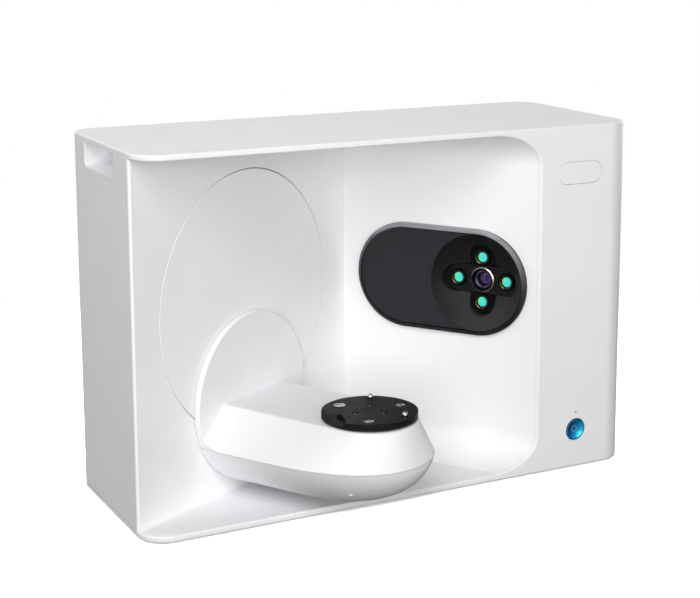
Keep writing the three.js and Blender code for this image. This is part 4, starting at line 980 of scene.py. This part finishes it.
def floor_fillet():
    """The soft hollow corner between the left inner wall and the floor."""
    low = FLOOR - SEAT
    high = FLOOR + FLOOR_FILLET
    hollow = arc(high, FLOOR_FILLET, FLOOR_FILLET, FLOOR_FILLET, 180, 270, 12)
    outline = [(low, -LINER / 2), (low, FLOOR_FILLET), *hollow, (high, -LINER / 2)]
    return prism_along_x(outline, NOSE_RADIUS, swing_run.length, SWING_SIDE)


piece(swing_wall(), "swing_wall_skin", "housing", INNER, stands_for=("swing_wall",))
piece(floor_fillet(), "floor_fillet", "housing", INNER)


def head_prism(radius, low, high):
    return prism(stadium(HEAD_HALF, radius), low, high, HEAD)


def camera_wall():
    """The right inner wall, which sweeps into the column and into the floor and the ceiling."""
    low = FLOOR + SEAT / 2

    def sweep(grow, start):
        rise = -FILLET_RISE - grow
        reach = -FILLET_REACH - grow
        return arc(low + FILLET_RISE, FILLET_REACH, rise, reach, math.degrees(start), 90, CORNER_STEPS)

    face = sweep(0, math.acos(1 - FILLET_TIP / FILLET_RISE))
    back = sweep(LINER, math.acos(FILLET_RISE / (FILLET_RISE + LINER)))
    lower = [*reversed(back), (low, face[0][1]), *face]
    upper = [(FLOOR + CEILING - up, out) for up, out in reversed(lower)]
    end = camera_run.length + FILLET_REACH
    wall = prism_along_x([*lower, *upper], -FILLET_REACH - OVERRUN, end, CAMERA_SIDE)
    far = BODY_WIDTH * 2
    top = BODY_HEIGHT + OVERRUN
    behind_swing_wall = block((-far, -OVERRUN, -far), (far, top, SEAT / 2), SWING_SIDE)
    past_column = block((-far, -OVERRUN, -WALL - SEAT / 2), (far, top, far), FRONT_SIDE)
    head_hole = head_prism(HEAD_BODY_RADIUS + SEAT, -LINER - OVERRUN, OVERRUN)
    return cut(wall, behind_swing_wall, past_column, head_hole)


piece(camera_wall(), "camera_wall_skin", "housing", INNER, stands_for=("camera_wall",))


def swing_disc():
    return turned([
        (0, 0),
        *[(DISC_RADIUS - inset, height) for height, inset in reversed(rounded_corner(SEAT * 2, 0, 4))],
        (DISC_RADIUS, -DISC_RIM_DEPTH),
        (DISC_RADIUS - DISC_RIM_WALL, -DISC_RIM_DEPTH),
        (DISC_RADIUS - DISC_RIM_WALL, -DISC_THICKNESS),
        (DISC_BOSS_RADIUS, -DISC_THICKNESS),
        (DISC_BOSS_RADIUS, -DISC_BOSS_DEPTH),
        (0, -DISC_BOSS_DEPTH),
    ], FINE, SWING_AXIS)


piece(swing_disc(), "swing_disc_skin", "swing_arm", INNER, stands_for=("swing_disc",))


# Swing arm

flange_back = SEAT
flange_face = flange_back + FLANGE_THICKNESS
arm_end = ARM_TIP_START + ARM_TIP_REACH
keel_level = FLANGE_CENTRE - FLANGE_RADIUS
top_fall = (ARM_TOP_ROOT - ARM_TOP_TIP) / (PLATE_OUT + ARM_TOP_RADIUS - flange_face)
PARTING_PLAN = (ARM_HALF, ARM_TIP_START, ARM_TIP_REACH, ARM_TIP_POWER, ARM_ROOT_BLEND)
TOP_PLAN = (ARM_TOP_RADIUS, PLATE_OUT, ARM_TOP_RADIUS, 2, ARM_TOP_BLEND)
OUTWARD = Matrix.Translation((0, 0, FLANGE_CENTRE)) @ rotation(90, "X")


def arm_top_at(out):
    return ARM_TOP_ROOT - top_fall * (out - flange_face)


def arm_outline(plan, inset, root):
    """Seen from above: flares out from the root, runs along both sides and rounds the tip."""
    half, tip_start, reach, power, blend = plan
    half -= inset
    blend += inset

    def full(value):
        return math.copysign(abs(value) ** (2 / power), value)

    flare = arc(half + blend, root + blend, blend, blend, -90, -180, FLARE_STEPS)
    tip = [
        (half * full(x), tip_start + (reach - inset) * full(out))
        for x, out in arc(0, 0, 1, 1, 0, 180, ROUND // 2)
    ]
    return [*flare, *tip, *[(-x, out) for x, out in reversed(flare)]]


def arm_hollow(root):
    """The inside of the upper shell, one skin in from its outside."""
    parting = arm_outline(PARTING_PLAN, ARM_SKIN, root - ARM_SKIN)
    top = arm_outline(TOP_PLAN, ARM_SKIN, root - ARM_SKIN)
    return loft([
        [(x, -out, PARTING - OVERRUN) for x, out in parting],
        [(x, -out, PARTING) for x, out in parting],
        [(x, -out, arm_top_at(out) - ARM_SKIN) for x, out in top],
    ], ARM)


def soft_arm_body(root, steps=6):
    """The arm's outside, whose sides turn into its top over a soft ridge."""
    foot = [Vector((x, -out, PARTING)) for x, out in arm_outline(PARTING_PLAN, 0, root)]
    ridge = [Vector((x, -out, arm_top_at(out))) for x, out in arm_outline(TOP_PLAN, 0, root)]
    inner = [Vector((x, -out, arm_top_at(out))) for x, out in arm_outline(TOP_PLAN, ARM_TOP_EDGE, root)]
    below = [r + (f - r).normalized() * ARM_TOP_EDGE for f, r in zip(foot, ridge)]
    rows = [foot]
    for k in range(steps + 1):
        t = k / steps
        rows.append([
            low * (1 - t) ** 2 + middle * 2 * t * (1 - t) + high * t ** 2
            for low, middle, high in zip(below, ridge, inner)
        ])
    return loft(rows, ARM)


def root_limit(skin, start):
    """The arm stays inside the flange's circle at its root and may pass it further out."""
    narrow = FLANGE_RADIUS - skin
    wide = narrow + ARM_ROOT_RELIEF
    return turned([
        (0, start),
        (narrow, start),
        (narrow, flange_face),
        (wide, flange_face + ARM_ROOT_BLEND),
        (wide, arm_end + OVERRUN),
        (0, arm_end + OVERRUN),
    ], FINE, ARM @ OUTWARD)


def flange_groove():
    """A thin dark gap round the foot of the flange, where it meets the disc."""
    inner = FLANGE_RADIUS - FLANGE_GAP_DEPTH
    outer = FLANGE_RADIUS + OVERRUN
    top = flange_back + FLANGE_GAP
    return turned([(inner, 0), (outer, 0), (outer, top), (inner, top)], FINE, ARM @ OUTWARD)


def arm_upper():
    edge = [(FLANGE_RADIUS - inset, height) for height, inset in rounded_corner(FLANGE_EDGE, flange_face)]
    profile = [(0, flange_back), (FLANGE_RADIUS, flange_back), *edge, (0, flange_face)]
    rim = turned(profile, FINE, ARM @ OUTWARD)
    root = flange_face - FLANGE_THICKNESS / 2
    solid = common(soft_arm_body(root), root_limit(0, flange_back))
    far = BODY_WIDTH
    below = block((-far, -far, -far), (far, far, PARTING + ARM_SEAM / 2), ARM)
    low = ARM_TOP_TIP - ARM_SKIN * 3
    spindle_hole = bar(SPINDLE_FLANGE_RADIUS + SEAT * 3, low, ARM_TOP_ROOT + OVERRUN, ROUND, TURNTABLE)
    hollow = common(arm_hollow(root), root_limit(ARM_SKIN, flange_face))
    return cut(join(rim, solid), below, hollow, spindle_hole, flange_groove())


def hull_section(out, inset, steps):
    past_start = max(0.0, (out - ARM_TIP_START) / ARM_TIP_REACH)
    half = ARM_HALF * max(0.0, 1 - past_start ** ARM_TIP_POWER) ** (1 / ARM_TIP_POWER)
    past_keel = max(0.0, (out - KEEL_OUT) / (arm_end - KEEL_OUT))
    depth = (PARTING - keel_level) * math.sqrt(max(0.0, 1 - past_keel ** 2))
    radius = ball_radius(half, depth)
    middle = PARTING - depth + radius
    reach = math.degrees(math.asin(min(1.0, half / radius)))
    curve = radius - inset
    points = arc(0, middle, curve, curve, -90 - reach, reach - 90, steps)
    left = points[0][0]
    return [(left, PARTING + OVERRUN), *points, (-left, PARTING + OVERRUN)]


def hull(inset, steps, count):
    start = flange_back + inset
    end = arm_end - inset
    shares = [HULL_END_SHARE * math.sin(a) for a in quarter(count)]
    rows = []
    for share in shares:
        section = hull_section(flange_back + (arm_end - flange_back) * share, inset, steps)
        rows.append([(x, y, start + (end - start) * share) for x, y in section])
    return loft(rows, ARM @ rotation(90, "X"))


def arm_lower():
    far = BODY_WIDTH
    above = block((-far, -far, PARTING - ARM_SEAM / 2), (far, far, far), ARM)
    outside = common(hull(0, 40, 36), root_limit(0, flange_back))
    screws = [
        bar(HULL_SCREW_RADIUS, 0, PARTING, SMALL // 2, ARM, side * across, -out)
        for across, out in HULL_SCREWS for side in (-1, 1)
    ]
    return cut(outside, above, hull(ARM_SKIN, 12, 10), flange_groove(), *screws)


piece(arm_upper(), "arm_upper_skin", "swing_arm", WHITE, stands_for=("arm_upper_shell",))
piece(arm_lower(), "arm_lower_skin", "swing_arm", WHITE, stands_for=("arm_lower_shell",))


# Turntable

plate_top = PLATE_LEVEL + PLATE_THICKNESS
magnet_top = plate_top - MAGNET_RECESS


def on_circle(radius, angle):
    return radius * math.cos(math.radians(angle)), radius * math.sin(math.radians(angle))


def plate_notch():
    """A sloping flat on the rim, and a slot beside it that opens at the rim."""
    turn = TURNTABLE @ rotation(NOTCH_ANGLE, "Z")
    outer = PLATE_RADIUS + OVERRUN
    inner = NOTCH_FLAT - OVERRUN
    slope = prism_along_x([
        (NOTCH_FLAT, plate_top),
        (PLATE_RADIUS, PLATE_LEVEL + NOTCH_RIM),
        (outer, PLATE_LEVEL + NOTCH_RIM),
        (outer, plate_top + OVERRUN),
        (NOTCH_FLAT, plate_top + OVERRUN),
    ], -outer, outer, turn @ rotation(-90, "Z"))
    beside_slot = prism([
        (inner, -outer),
        (outer, -outer),
        (outer, SLOT_MOUTH[1]),
        SLOT_MOUTH,
        (NOTCH_FLAT, SLOT_START),
        (inner, SLOT_START),
    ], PLATE_LEVEL, plate_top + OVERRUN * 2, turn)
    slot = prism([
        (NOTCH_FLAT - SLOT_STEP, SLOT_START),
        (NOTCH_FLAT + SEAT, SLOT_START),
        (SLOT_MOUTH[0] + SEAT, SLOT_MOUTH[1]),
        (NOTCH_FLAT, SLOT_RAMP_END),
    ], plate_top - SLOT_DEPTH, plate_top + OVERRUN, turn)
    return common(slope, beside_slot), slot


def plate_holes(radius, floor, circle, angles):
    return [
        bar(radius, floor, plate_top + OVERRUN, SMALL, TURNTABLE, *on_circle(circle, angle))
        for angle in angles
    ]


def plate():
    disc = turned([
        (0, PLATE_LEVEL),
        (PLATE_RADIUS - PLATE_EDGE, PLATE_LEVEL),
        (PLATE_RADIUS, PLATE_LEVEL + PLATE_EDGE),
        (PLATE_RADIUS, plate_top),
        (0, plate_top),
    ], FINE, TURNTABLE)
    magnet_floor = magnet_top - MAGNET_THICKNESS - SEAT
    return soften(cut(
        disc,
        *plate_notch(),
        *plate_holes(MAGNET_RADIUS + SEAT, magnet_floor, MAGNET_CIRCLE, MAGNET_ANGLES),
        *plate_holes(PIN_RADIUS + SEAT, plate_top - PIN_SUNK - SEAT, PIN_CIRCLE, PIN_ANGLES),
        *plate_holes(KEY_HOLE_RADIUS, plate_top - KEY_HOLE_DEPTH, KEY_HOLE_CIRCLE, KEY_HOLE_ANGLES),
    ), SEAT)


piece(plate(), "turntable_plate_skin", "turntable", BLACK, stands_for=("turntable_plate",))


def set_in_plate(name, circle, angles, sides, profile, replaced=""):
    """The same turned steel part at each angle of a circle."""
    for number, angle in enumerate(angles, 1):
        place = moved(TURNTABLE, *on_circle(circle, angle))
        stands_for = (f"{replaced}_{number}",) if replaced else ()
        piece(turned(profile, sides, place), f"{name}_{number}", "turntable", STEEL, place, stands_for)


def round_end(radius, top):
    """The end of a turned profile, from the full radius over a half ball to its top."""
    return [*arc(0, top - radius, radius, radius, 0, 90, DOME_STEPS)[:-1], (0, top)]


groove = [MAGNET_RADIUS * share for share in MAGNET_GROOVE_SHARES]
set_in_plate("magnet", MAGNET_CIRCLE, MAGNET_ANGLES, SMALL, [
    (0, magnet_top - MAGNET_THICKNESS),
    (MAGNET_RADIUS, magnet_top - MAGNET_THICKNESS),
    (MAGNET_RADIUS, magnet_top - SEAT),
    (MAGNET_RADIUS - SEAT, magnet_top),
    (groove[0], magnet_top),
    (groove[1], magnet_top - SEAT * 2),
    (groove[2], magnet_top - SEAT * 2),
    (groove[3], magnet_top - SEAT),
    (MAGNET_RADIUS * MAGNET_CENTRE_SHARE, magnet_top - SEAT / 2),
    (0, magnet_top - SEAT / 3),
], "plate_magnet")
set_in_plate("pin", PIN_CIRCLE, PIN_ANGLES, SMALL, [
    (0, plate_top - PIN_SUNK),
    (PIN_RADIUS - PIN_WAIST, plate_top - PIN_SUNK),
    (PIN_RADIUS - PIN_WAIST, plate_top),
    (PIN_RADIUS, plate_top + PIN_WAIST),
    *round_end(PIN_RADIUS, plate_top + PIN_RISE),
], "plate_pin")
set_in_plate("key_screw", KEY_HOLE_CIRCLE, KEY_HOLE_ANGLES, SMALL // 2, [
    (0, plate_top - KEY_HOLE_DEPTH),
    (KEY_SCREW_RADIUS, plate_top - KEY_HOLE_DEPTH),
    *round_end(KEY_SCREW_RADIUS, plate_top - KEY_SCREW_SINK),
])


# Camera head

face_level = HEAD_RISE - FACE_RECESS
face_front = face_level + SEAT + FACE_THICKNESS
dish_sphere = ball_radius(DISH_RADIUS, DISH_DEPTH)
bar_front = face_front - BAR_SINK
bar_back = bar_front - BAR_THICKNESS
barrel_front = bar_front + BARREL_LIP
lens_front = barrel_front - LENS_SINK
lens_back = lens_front - LENS_THICKNESS
projector_front = bar_front + PROJECTOR_RISE
LENS_PLACES = {
    "left": (-LENS_ACROSS, 0),
    "right": (LENS_ACROSS, 0),
    "top": (0, LENS_UP),
    "bottom": (0, -LENS_UP),
}


def head_housing():
    def outline(inset):
        return stadium(HEAD_HALF, HEAD_RADIUS - inset)

    side = SEAT + HEAD_SIDE_RISE
    rim = stepped(outline, [
        (SEAT, 0),
        *[(side - drop, inset) for drop, inset in HEAD_SIDE_ROUND],
        (HEAD_RISE - HEAD_TOP_ROUND[0], HEAD_BEVEL - HEAD_TOP_ROUND[1]),
        (HEAD_RISE, HEAD_BEVEL),
    ], HEAD)
    back = -HEAD_BODY_DEPTH - OVERRUN
    rear = head_prism(HEAD_BODY_RADIUS, -HEAD_BODY_DEPTH, side - 1)
    seat = head_prism(FACE_RADIUS + FACE_GAP, face_level, HEAD_RISE + OVERRUN)
    hollow = head_prism(HEAD_BODY_RADIUS - HEAD_SHELL, back, face_level - HEAD_SHELL)
    bore = bar(OPTICS_RADIUS + SEAT, back, HEAD_RISE + OVERRUN, ROUND, EYE)
    return cut(join(rim, rear), seat, hollow, bore)


def head_face():
    face = head_prism(FACE_RADIUS, face_level + SEAT, face_front)
    round_cut = bar(FACE_RADIUS + SEAT / 3, 0, HEAD_RISE + OVERRUN, FINE, EYE)
    return soften(cut(face, round_cut), SEAT)


def optics():
    """A round block with a bowl in its front, and in that the pockets and bores of the lenses."""
    back = bar(OPTICS_RADIUS, -OPTICS_BACK, face_front, ROUND, EYE)
    front = bar(FACE_RADIUS, face_level + SEAT, face_front, FINE, EYE)
    past = face_front + OVERRUN
    middle = face_front - DISH_DEPTH + dish_sphere
    reach = math.degrees(math.asin(DISH_RADIUS / dish_sphere))
    bowl = arc(0, middle, dish_sphere, dish_sphere, -90, reach - 90, 24)
    dish = turned([*bowl, (DISH_RADIUS, past), (0, past)], FINE, EYE)
    floor = bar_back - SEAT
    pockets = [prism(stadium(BAR_HALF, BAR_RADIUS + SEAT), floor, past, EYE)]
    for up in (LENS_UP, -LENS_UP):
        pockets.append(bar(POCKET_RADIUS, floor, past, ROUND, EYE, 0, up))
        pockets.append(block((-POCKET_RADIUS, min(0, up), floor), (POCKET_RADIUS, max(0, up), past), EYE))
    bores = [
        bar(radius + SEAT, -OPTICS_BACK - OVERRUN, face_front, SMALL, EYE, x, y)
        for radius, x, y in (*[(BARREL_RADIUS, *at) for at in LENS_PLACES.values()], (PROJECTOR_RADIUS, 0, 0))
    ]
    return cut(join(back, front), dish, *pockets, *bores)


def lens_bar():
    holes = [
        bar(radius, bar_back - OVERRUN, bar_front + OVERRUN, SMALL, EYE, x)
        for radius, x in (
            (PROJECTOR_RADIUS + SEAT, 0), (BAR_LENS_HOLE, -LENS_ACROSS), (BAR_LENS_HOLE, LENS_ACROSS))
    ]
    plain = prism(stadium(BAR_HALF, BAR_RADIUS), bar_back, bar_front, EYE)
    return soften(cut(plain, *holes), SEAT * 1.5, 3)


piece(head_housing(), "head_shell", "housing", FINISHES["head_rim"], HEAD, ("head_housing",))
piece(head_face(), "head_face_plate", "housing", DARK, stands_for=("head_face",))
piece(optics(), "optics_dish", "housing", FINISHES["dish_black"], EYE, ("optics_block",))
piece(lens_bar(), "lens_bar_plate", "housing", BLACK, stands_for=("lens_bar",))


def domed(radius, front, crown, place):
    """A lens with a flat back and a front that stands out by its crown in the middle."""
    sphere = ball_radius(radius, crown)
    reach = math.degrees(math.asin(radius / sphere))
    dome = arc(0, front - sphere, sphere, sphere, 90 - reach, 90, DOME_STEPS)[:-1]
    back = front - LENS_THICKNESS
    return turned([(0, back), (radius, back), *dome, (0, front)], SMALL, place)


def camera_tube(mouth, place):
    return turned([
        (0, -BARREL_BACK),
        (BARREL_RADIUS, -BARREL_BACK),
        (BARREL_RADIUS, barrel_front - SEAT),
        (BARREL_RADIUS - SEAT / 2, barrel_front),
        (mouth, barrel_front),
        (BARREL_BORE, lens_front),
        (BARREL_BORE, lens_back - SEAT),
        (0, lens_back - SEAT),
    ], SMALL, place)


def camera_ring(mouth, place):
    """A thin copper edge round the mouth of a camera's tube."""
    inner, outer = (mouth - SEAT * share for share in COPPER_RING)
    return turned([
        (inner, barrel_front - SEAT),
        (outer, barrel_front - SEAT),
        (outer, barrel_front + SEAT / 3),
        (inner, barrel_front - SEAT / 3),
    ], SMALL, place)


mouth = BARREL_RADIUS - (BARREL_RADIUS - BARREL_BORE) / 3
for where, (x, y) in LENS_PLACES.items():
    place = moved(EYE, x, y)
    piece(camera_tube(mouth, place), f"camera_tube_{where}", "housing", BLACK, place,
          stands_for=(f"camera_barrel_{where}",))
    lens = domed(BARREL_BORE - SEAT, lens_front, LENS_CROWN, place)
    piece(lens, f"camera_glass_{where}", "housing", FINISHES["coated_lens"], place,
          stands_for=(f"camera_lens_{where}",))
    piece(camera_ring(mouth, place), f"camera_ring_{where}", "housing", FINISHES["copper_ring"], place)


def projector():
    half_step = (PROJECTOR_MOUTH + PROJECTOR_THROAT) / 2
    lens_seat = projector_front - PROJECTOR_LENS_SINK - LENS_THICKNESS - SEAT
    ring_back = bar_front + SEAT
    return turned([
        (0, -BARREL_BACK),
        (PROJECTOR_RADIUS, -BARREL_BACK),
        (PROJECTOR_RADIUS, ring_back),
        (PROJECTOR_RING, ring_back),
        (PROJECTOR_RING, ring_back + PROJECTOR_RING_THICKNESS - SEAT),
        (PROJECTOR_RING - SEAT, ring_back + PROJECTOR_RING_THICKNESS),
        (PROJECTOR_RADIUS, projector_front),
        (PROJECTOR_MOUTH, projector_front),
        (PROJECTOR_MOUTH, projector_front - PROJECTOR_STEP),
        (half_step, projector_front - PROJECTOR_STEP),
        (half_step, projector_front - PROJECTOR_STEP * 2),
        (PROJECTOR_THROAT, projector_front - PROJECTOR_STEP * 2),
        (PROJECTOR_THROAT, lens_seat),
        (0, lens_seat),
    ], ROUND, EYE)


piece(projector(), "projector_tube", "housing", FINISHES["projector_metal"], EYE,
      stands_for=("projector_barrel",))
lens = domed(PROJECTOR_THROAT - SEAT, projector_front - PROJECTOR_LENS_SINK, LENS_CROWN * 2, EYE)
piece(lens, "projector_glass", "housing", FINISHES["projector_lens"], EYE, stands_for=("projector_lens",))


# Button, its ring and bare badge

def button_cap():
    dish = BUTTON_RADIUS - BUTTON_RIM
    sphere = ball_radius(dish, BUTTON_DISH)
    centre = sphere - BUTTON_SINK - BUTTON_DISH

    def hollow(radius, rise=0.0):
        return radius, centre - math.sqrt(sphere ** 2 - radius ** 2) + rise

    inner, outer = BUTTON_RING
    middle = (inner + outer) / 2
    steps = [outer + (dish - outer) * k / 12 for k in range(1, 12)]
    return turned([
        (0, centre - sphere),
        hollow(inner * 0.5),
        hollow(inner),
        hollow(middle, BUTTON_RING_RISE),
        hollow(outer),
        *[hollow(radius) for radius in steps],
        (dish, -BUTTON_SINK),
        (BUTTON_RADIUS - SEAT * 2, -BUTTON_SINK),
        (BUTTON_RADIUS, -BUTTON_SINK - SEAT * 2),
        (BUTTON_RADIUS, -BUTTON_CAP),
        (BUTTON_STEM, -BUTTON_CAP),
        (BUTTON_STEM, -BUTTON_CAP - BUTTON_STEM_LENGTH),
        (0, -BUTTON_CAP - BUTTON_STEM_LENGTH),
    ], ROUND, BUTTON)


piece(button_cap(), "button_cap", "power_button", FINISHES["blue_metal"], BUTTON,
      stands_for=("power_button",))
bezel_inner = BUTTON_RADIUS + BEZEL_FIT
bezel_outer = BUTTON_RADIUS + BEZEL_RING + SEAT * 2 - BEZEL_FIT
bezel = turned([
    (bezel_inner, -WALL),
    (bezel_outer, -WALL),
    (bezel_outer, 0),
    (bezel_outer - BEZEL_RISE, BEZEL_RISE),
    (bezel_inner + BEZEL_RISE, BEZEL_RISE),
    (bezel_inner, 0),
], ROUND, BUTTON)
piece(bezel, "button_ring", "housing", WHITE, BUTTON, stands_for=("button_bezel",))
badge_back = SEAT - BADGE_POCKET
badge = prism(stadium(BADGE_HALF, BADGE_RADIUS, SMALL), badge_back, badge_back + BADGE_THICKNESS, BADGE)
piece(soften(badge, SEAT), "badge_plate", "housing", WHITE, BADGE, stands_for=("badge_inset",))


# CAD nodes that stay: smooth shading below the sharp angle, and a finish

def shade_group():
    """Welds a node's facets and shades them smooth below the sharp angle."""
    group = bpy.data.node_groups.new("even facets", "GeometryNodeTree")
    for way in ("INPUT", "OUTPUT"):
        group.interface.new_socket("Geometry", in_out=way, socket_type="NodeSocketGeometry")
    nodes = Nodes(group, "")
    start = nodes.node("NodeGroupInput").outputs[0]
    weld = nodes.node("GeometryNodeMergeByDistance", {0: start, "Distance": FACET_WELD})
    faces = nodes.node("GeometryNodeSetShadeSmooth", {0: weld.outputs[0]})
    angle = nodes.node("GeometryNodeInputMeshEdgeAngle").outputs["Unsigned Angle"]
    sharper = nodes.node(
        "FunctionNodeCompare", {"A": angle, "B": SHARP_ANGLE}, data_type="FLOAT", operation="GREATER_THAN")
    sharp = {0: faces.outputs[0], "Selection": sharper.outputs["Result"], "Shade Smooth": False}
    edges = nodes.node("GeometryNodeSetShadeSmooth", sharp, domain="EDGE")
    nodes.node("NodeGroupOutput", {0: edges.outputs[0]})
    return group


facets = shade_group()
slot_of = {part["node"]: part["material_slot"] for part in frame["record"]["subparts"]}
for name, solid in frame["nodes"].items():
    solid.data.materials.clear()
    solid.data.materials.append(FINISHES[slot_of[name]])
    if not solid.hide_render:
        solid.modifiers.new("facets", "NODES").node_group = facets


# Floor, background, lamps and camera

def floor_material():
    """Dark paper that the camera sees as bright, and that fades to white away from the scanner."""
    material = bpy.data.materials.new("stage_floor")
    material.use_nodes = True
    material.node_tree.nodes.clear()
    nodes = Nodes(material.node_tree)
    seen = nodes.node("LightPath").outputs["Is Camera Ray"]
    away = nodes.length(nodes.node("TexCoord").outputs["Object"])
    near, far = FLOOR_FADE
    fade = nodes.node(
        "MapRange", {"Value": away, "From Min": near, "From Max": far}, interpolation_type="SMOOTHSTEP")
    shown = nodes.sum(fade.outputs["Result"], seen, "MULTIPLY")
    paper = nodes.node("BsdfDiffuse", {"Color": nodes.blend(seen, FLOOR_COLOUR, FLOOR_TO_CAMERA)})
    white = nodes.node("Emission")
    both = nodes.mixed(shown, paper.outputs["BSDF"], white.outputs["Emission"])
    nodes.node("OutputMaterial", {"Surface": both})
    return material


half = FLOOR_SIZE / 2
ground = bpy.data.meshes.new("stage_floor")
corners = [(-half, -half, 0), (half, -half, 0), (half, half, 0), (-half, half, 0)]
ground.from_pydata(corners, [], [(0, 1, 2, 3)])
ground.materials.append(floor_material())
stage_floor = add_object("stage_floor", ground)


def studio_world():
    world = bpy.data.worlds.new("studio")
    bpy.context.scene.world = world
    world.use_nodes = True
    world.node_tree.nodes.clear()
    nodes = Nodes(world.node_tree)
    path = nodes.node("LightPath").outputs

    def background(strength):
        made = nodes.node("Background", {"Color": (1, 1, 1, 1), "Strength": strength})
        return made.outputs["Background"]

    mirrored = nodes.sum(path["Is Glossy Ray"], path["Is Transmission Ray"], "MAXIMUM")
    unseen = nodes.mixed(mirrored, background(AMBIENT), background(REFLECTED_WHITE))
    both = nodes.mixed(path["Is Camera Ray"], unseen, background(SEEN_WHITE))
    nodes.node("OutputWorld", {"Surface": both})


studio_world()


def lamp(name, place, size, power):
    light = bpy.data.lights.new(name, "AREA")
    light.shape = "SQUARE"
    light.size = size
    light.energy = power
    made = add_object(name, light)
    made.location = place
    made.rotation_euler = (LOOK_AT - made.location).to_track_quat("-Z", "Y").to_euler()


for settings in LAMPS:
    lamp(*settings)


def add_camera():
    data = bpy.data.cameras.new("camera")
    data.sensor_width = SENSOR
    data.lens = FOCAL_PIXELS * SENSOR / IMAGE_WIDTH
    data.shift_x, data.shift_y = SHIFT
    made = add_object("camera", data)
    ahead = Vector((
        math.sin(CAMERA_YAW) * math.cos(CAMERA_PITCH),
        math.cos(CAMERA_YAW) * math.cos(CAMERA_PITCH),
        -math.sin(CAMERA_PITCH),
    ))
    right = Vector((math.cos(CAMERA_YAW), -math.sin(CAMERA_YAW), 0))
    up = right.cross(ahead)
    level = math.cos(CAMERA_ROLL)
    tilt = math.sin(CAMERA_ROLL)
    turn = Matrix((right * level + up * tilt, up * level - right * tilt, -ahead)).transposed()
    made.matrix_world = Matrix.Translation(HOUSING @ Vector(CAMERA_PLACE) * MM) @ turn.to_4x4()
    bpy.context.scene.camera = made


add_camera()
bpy.context.scene.view_settings.view_transform = "Standard"
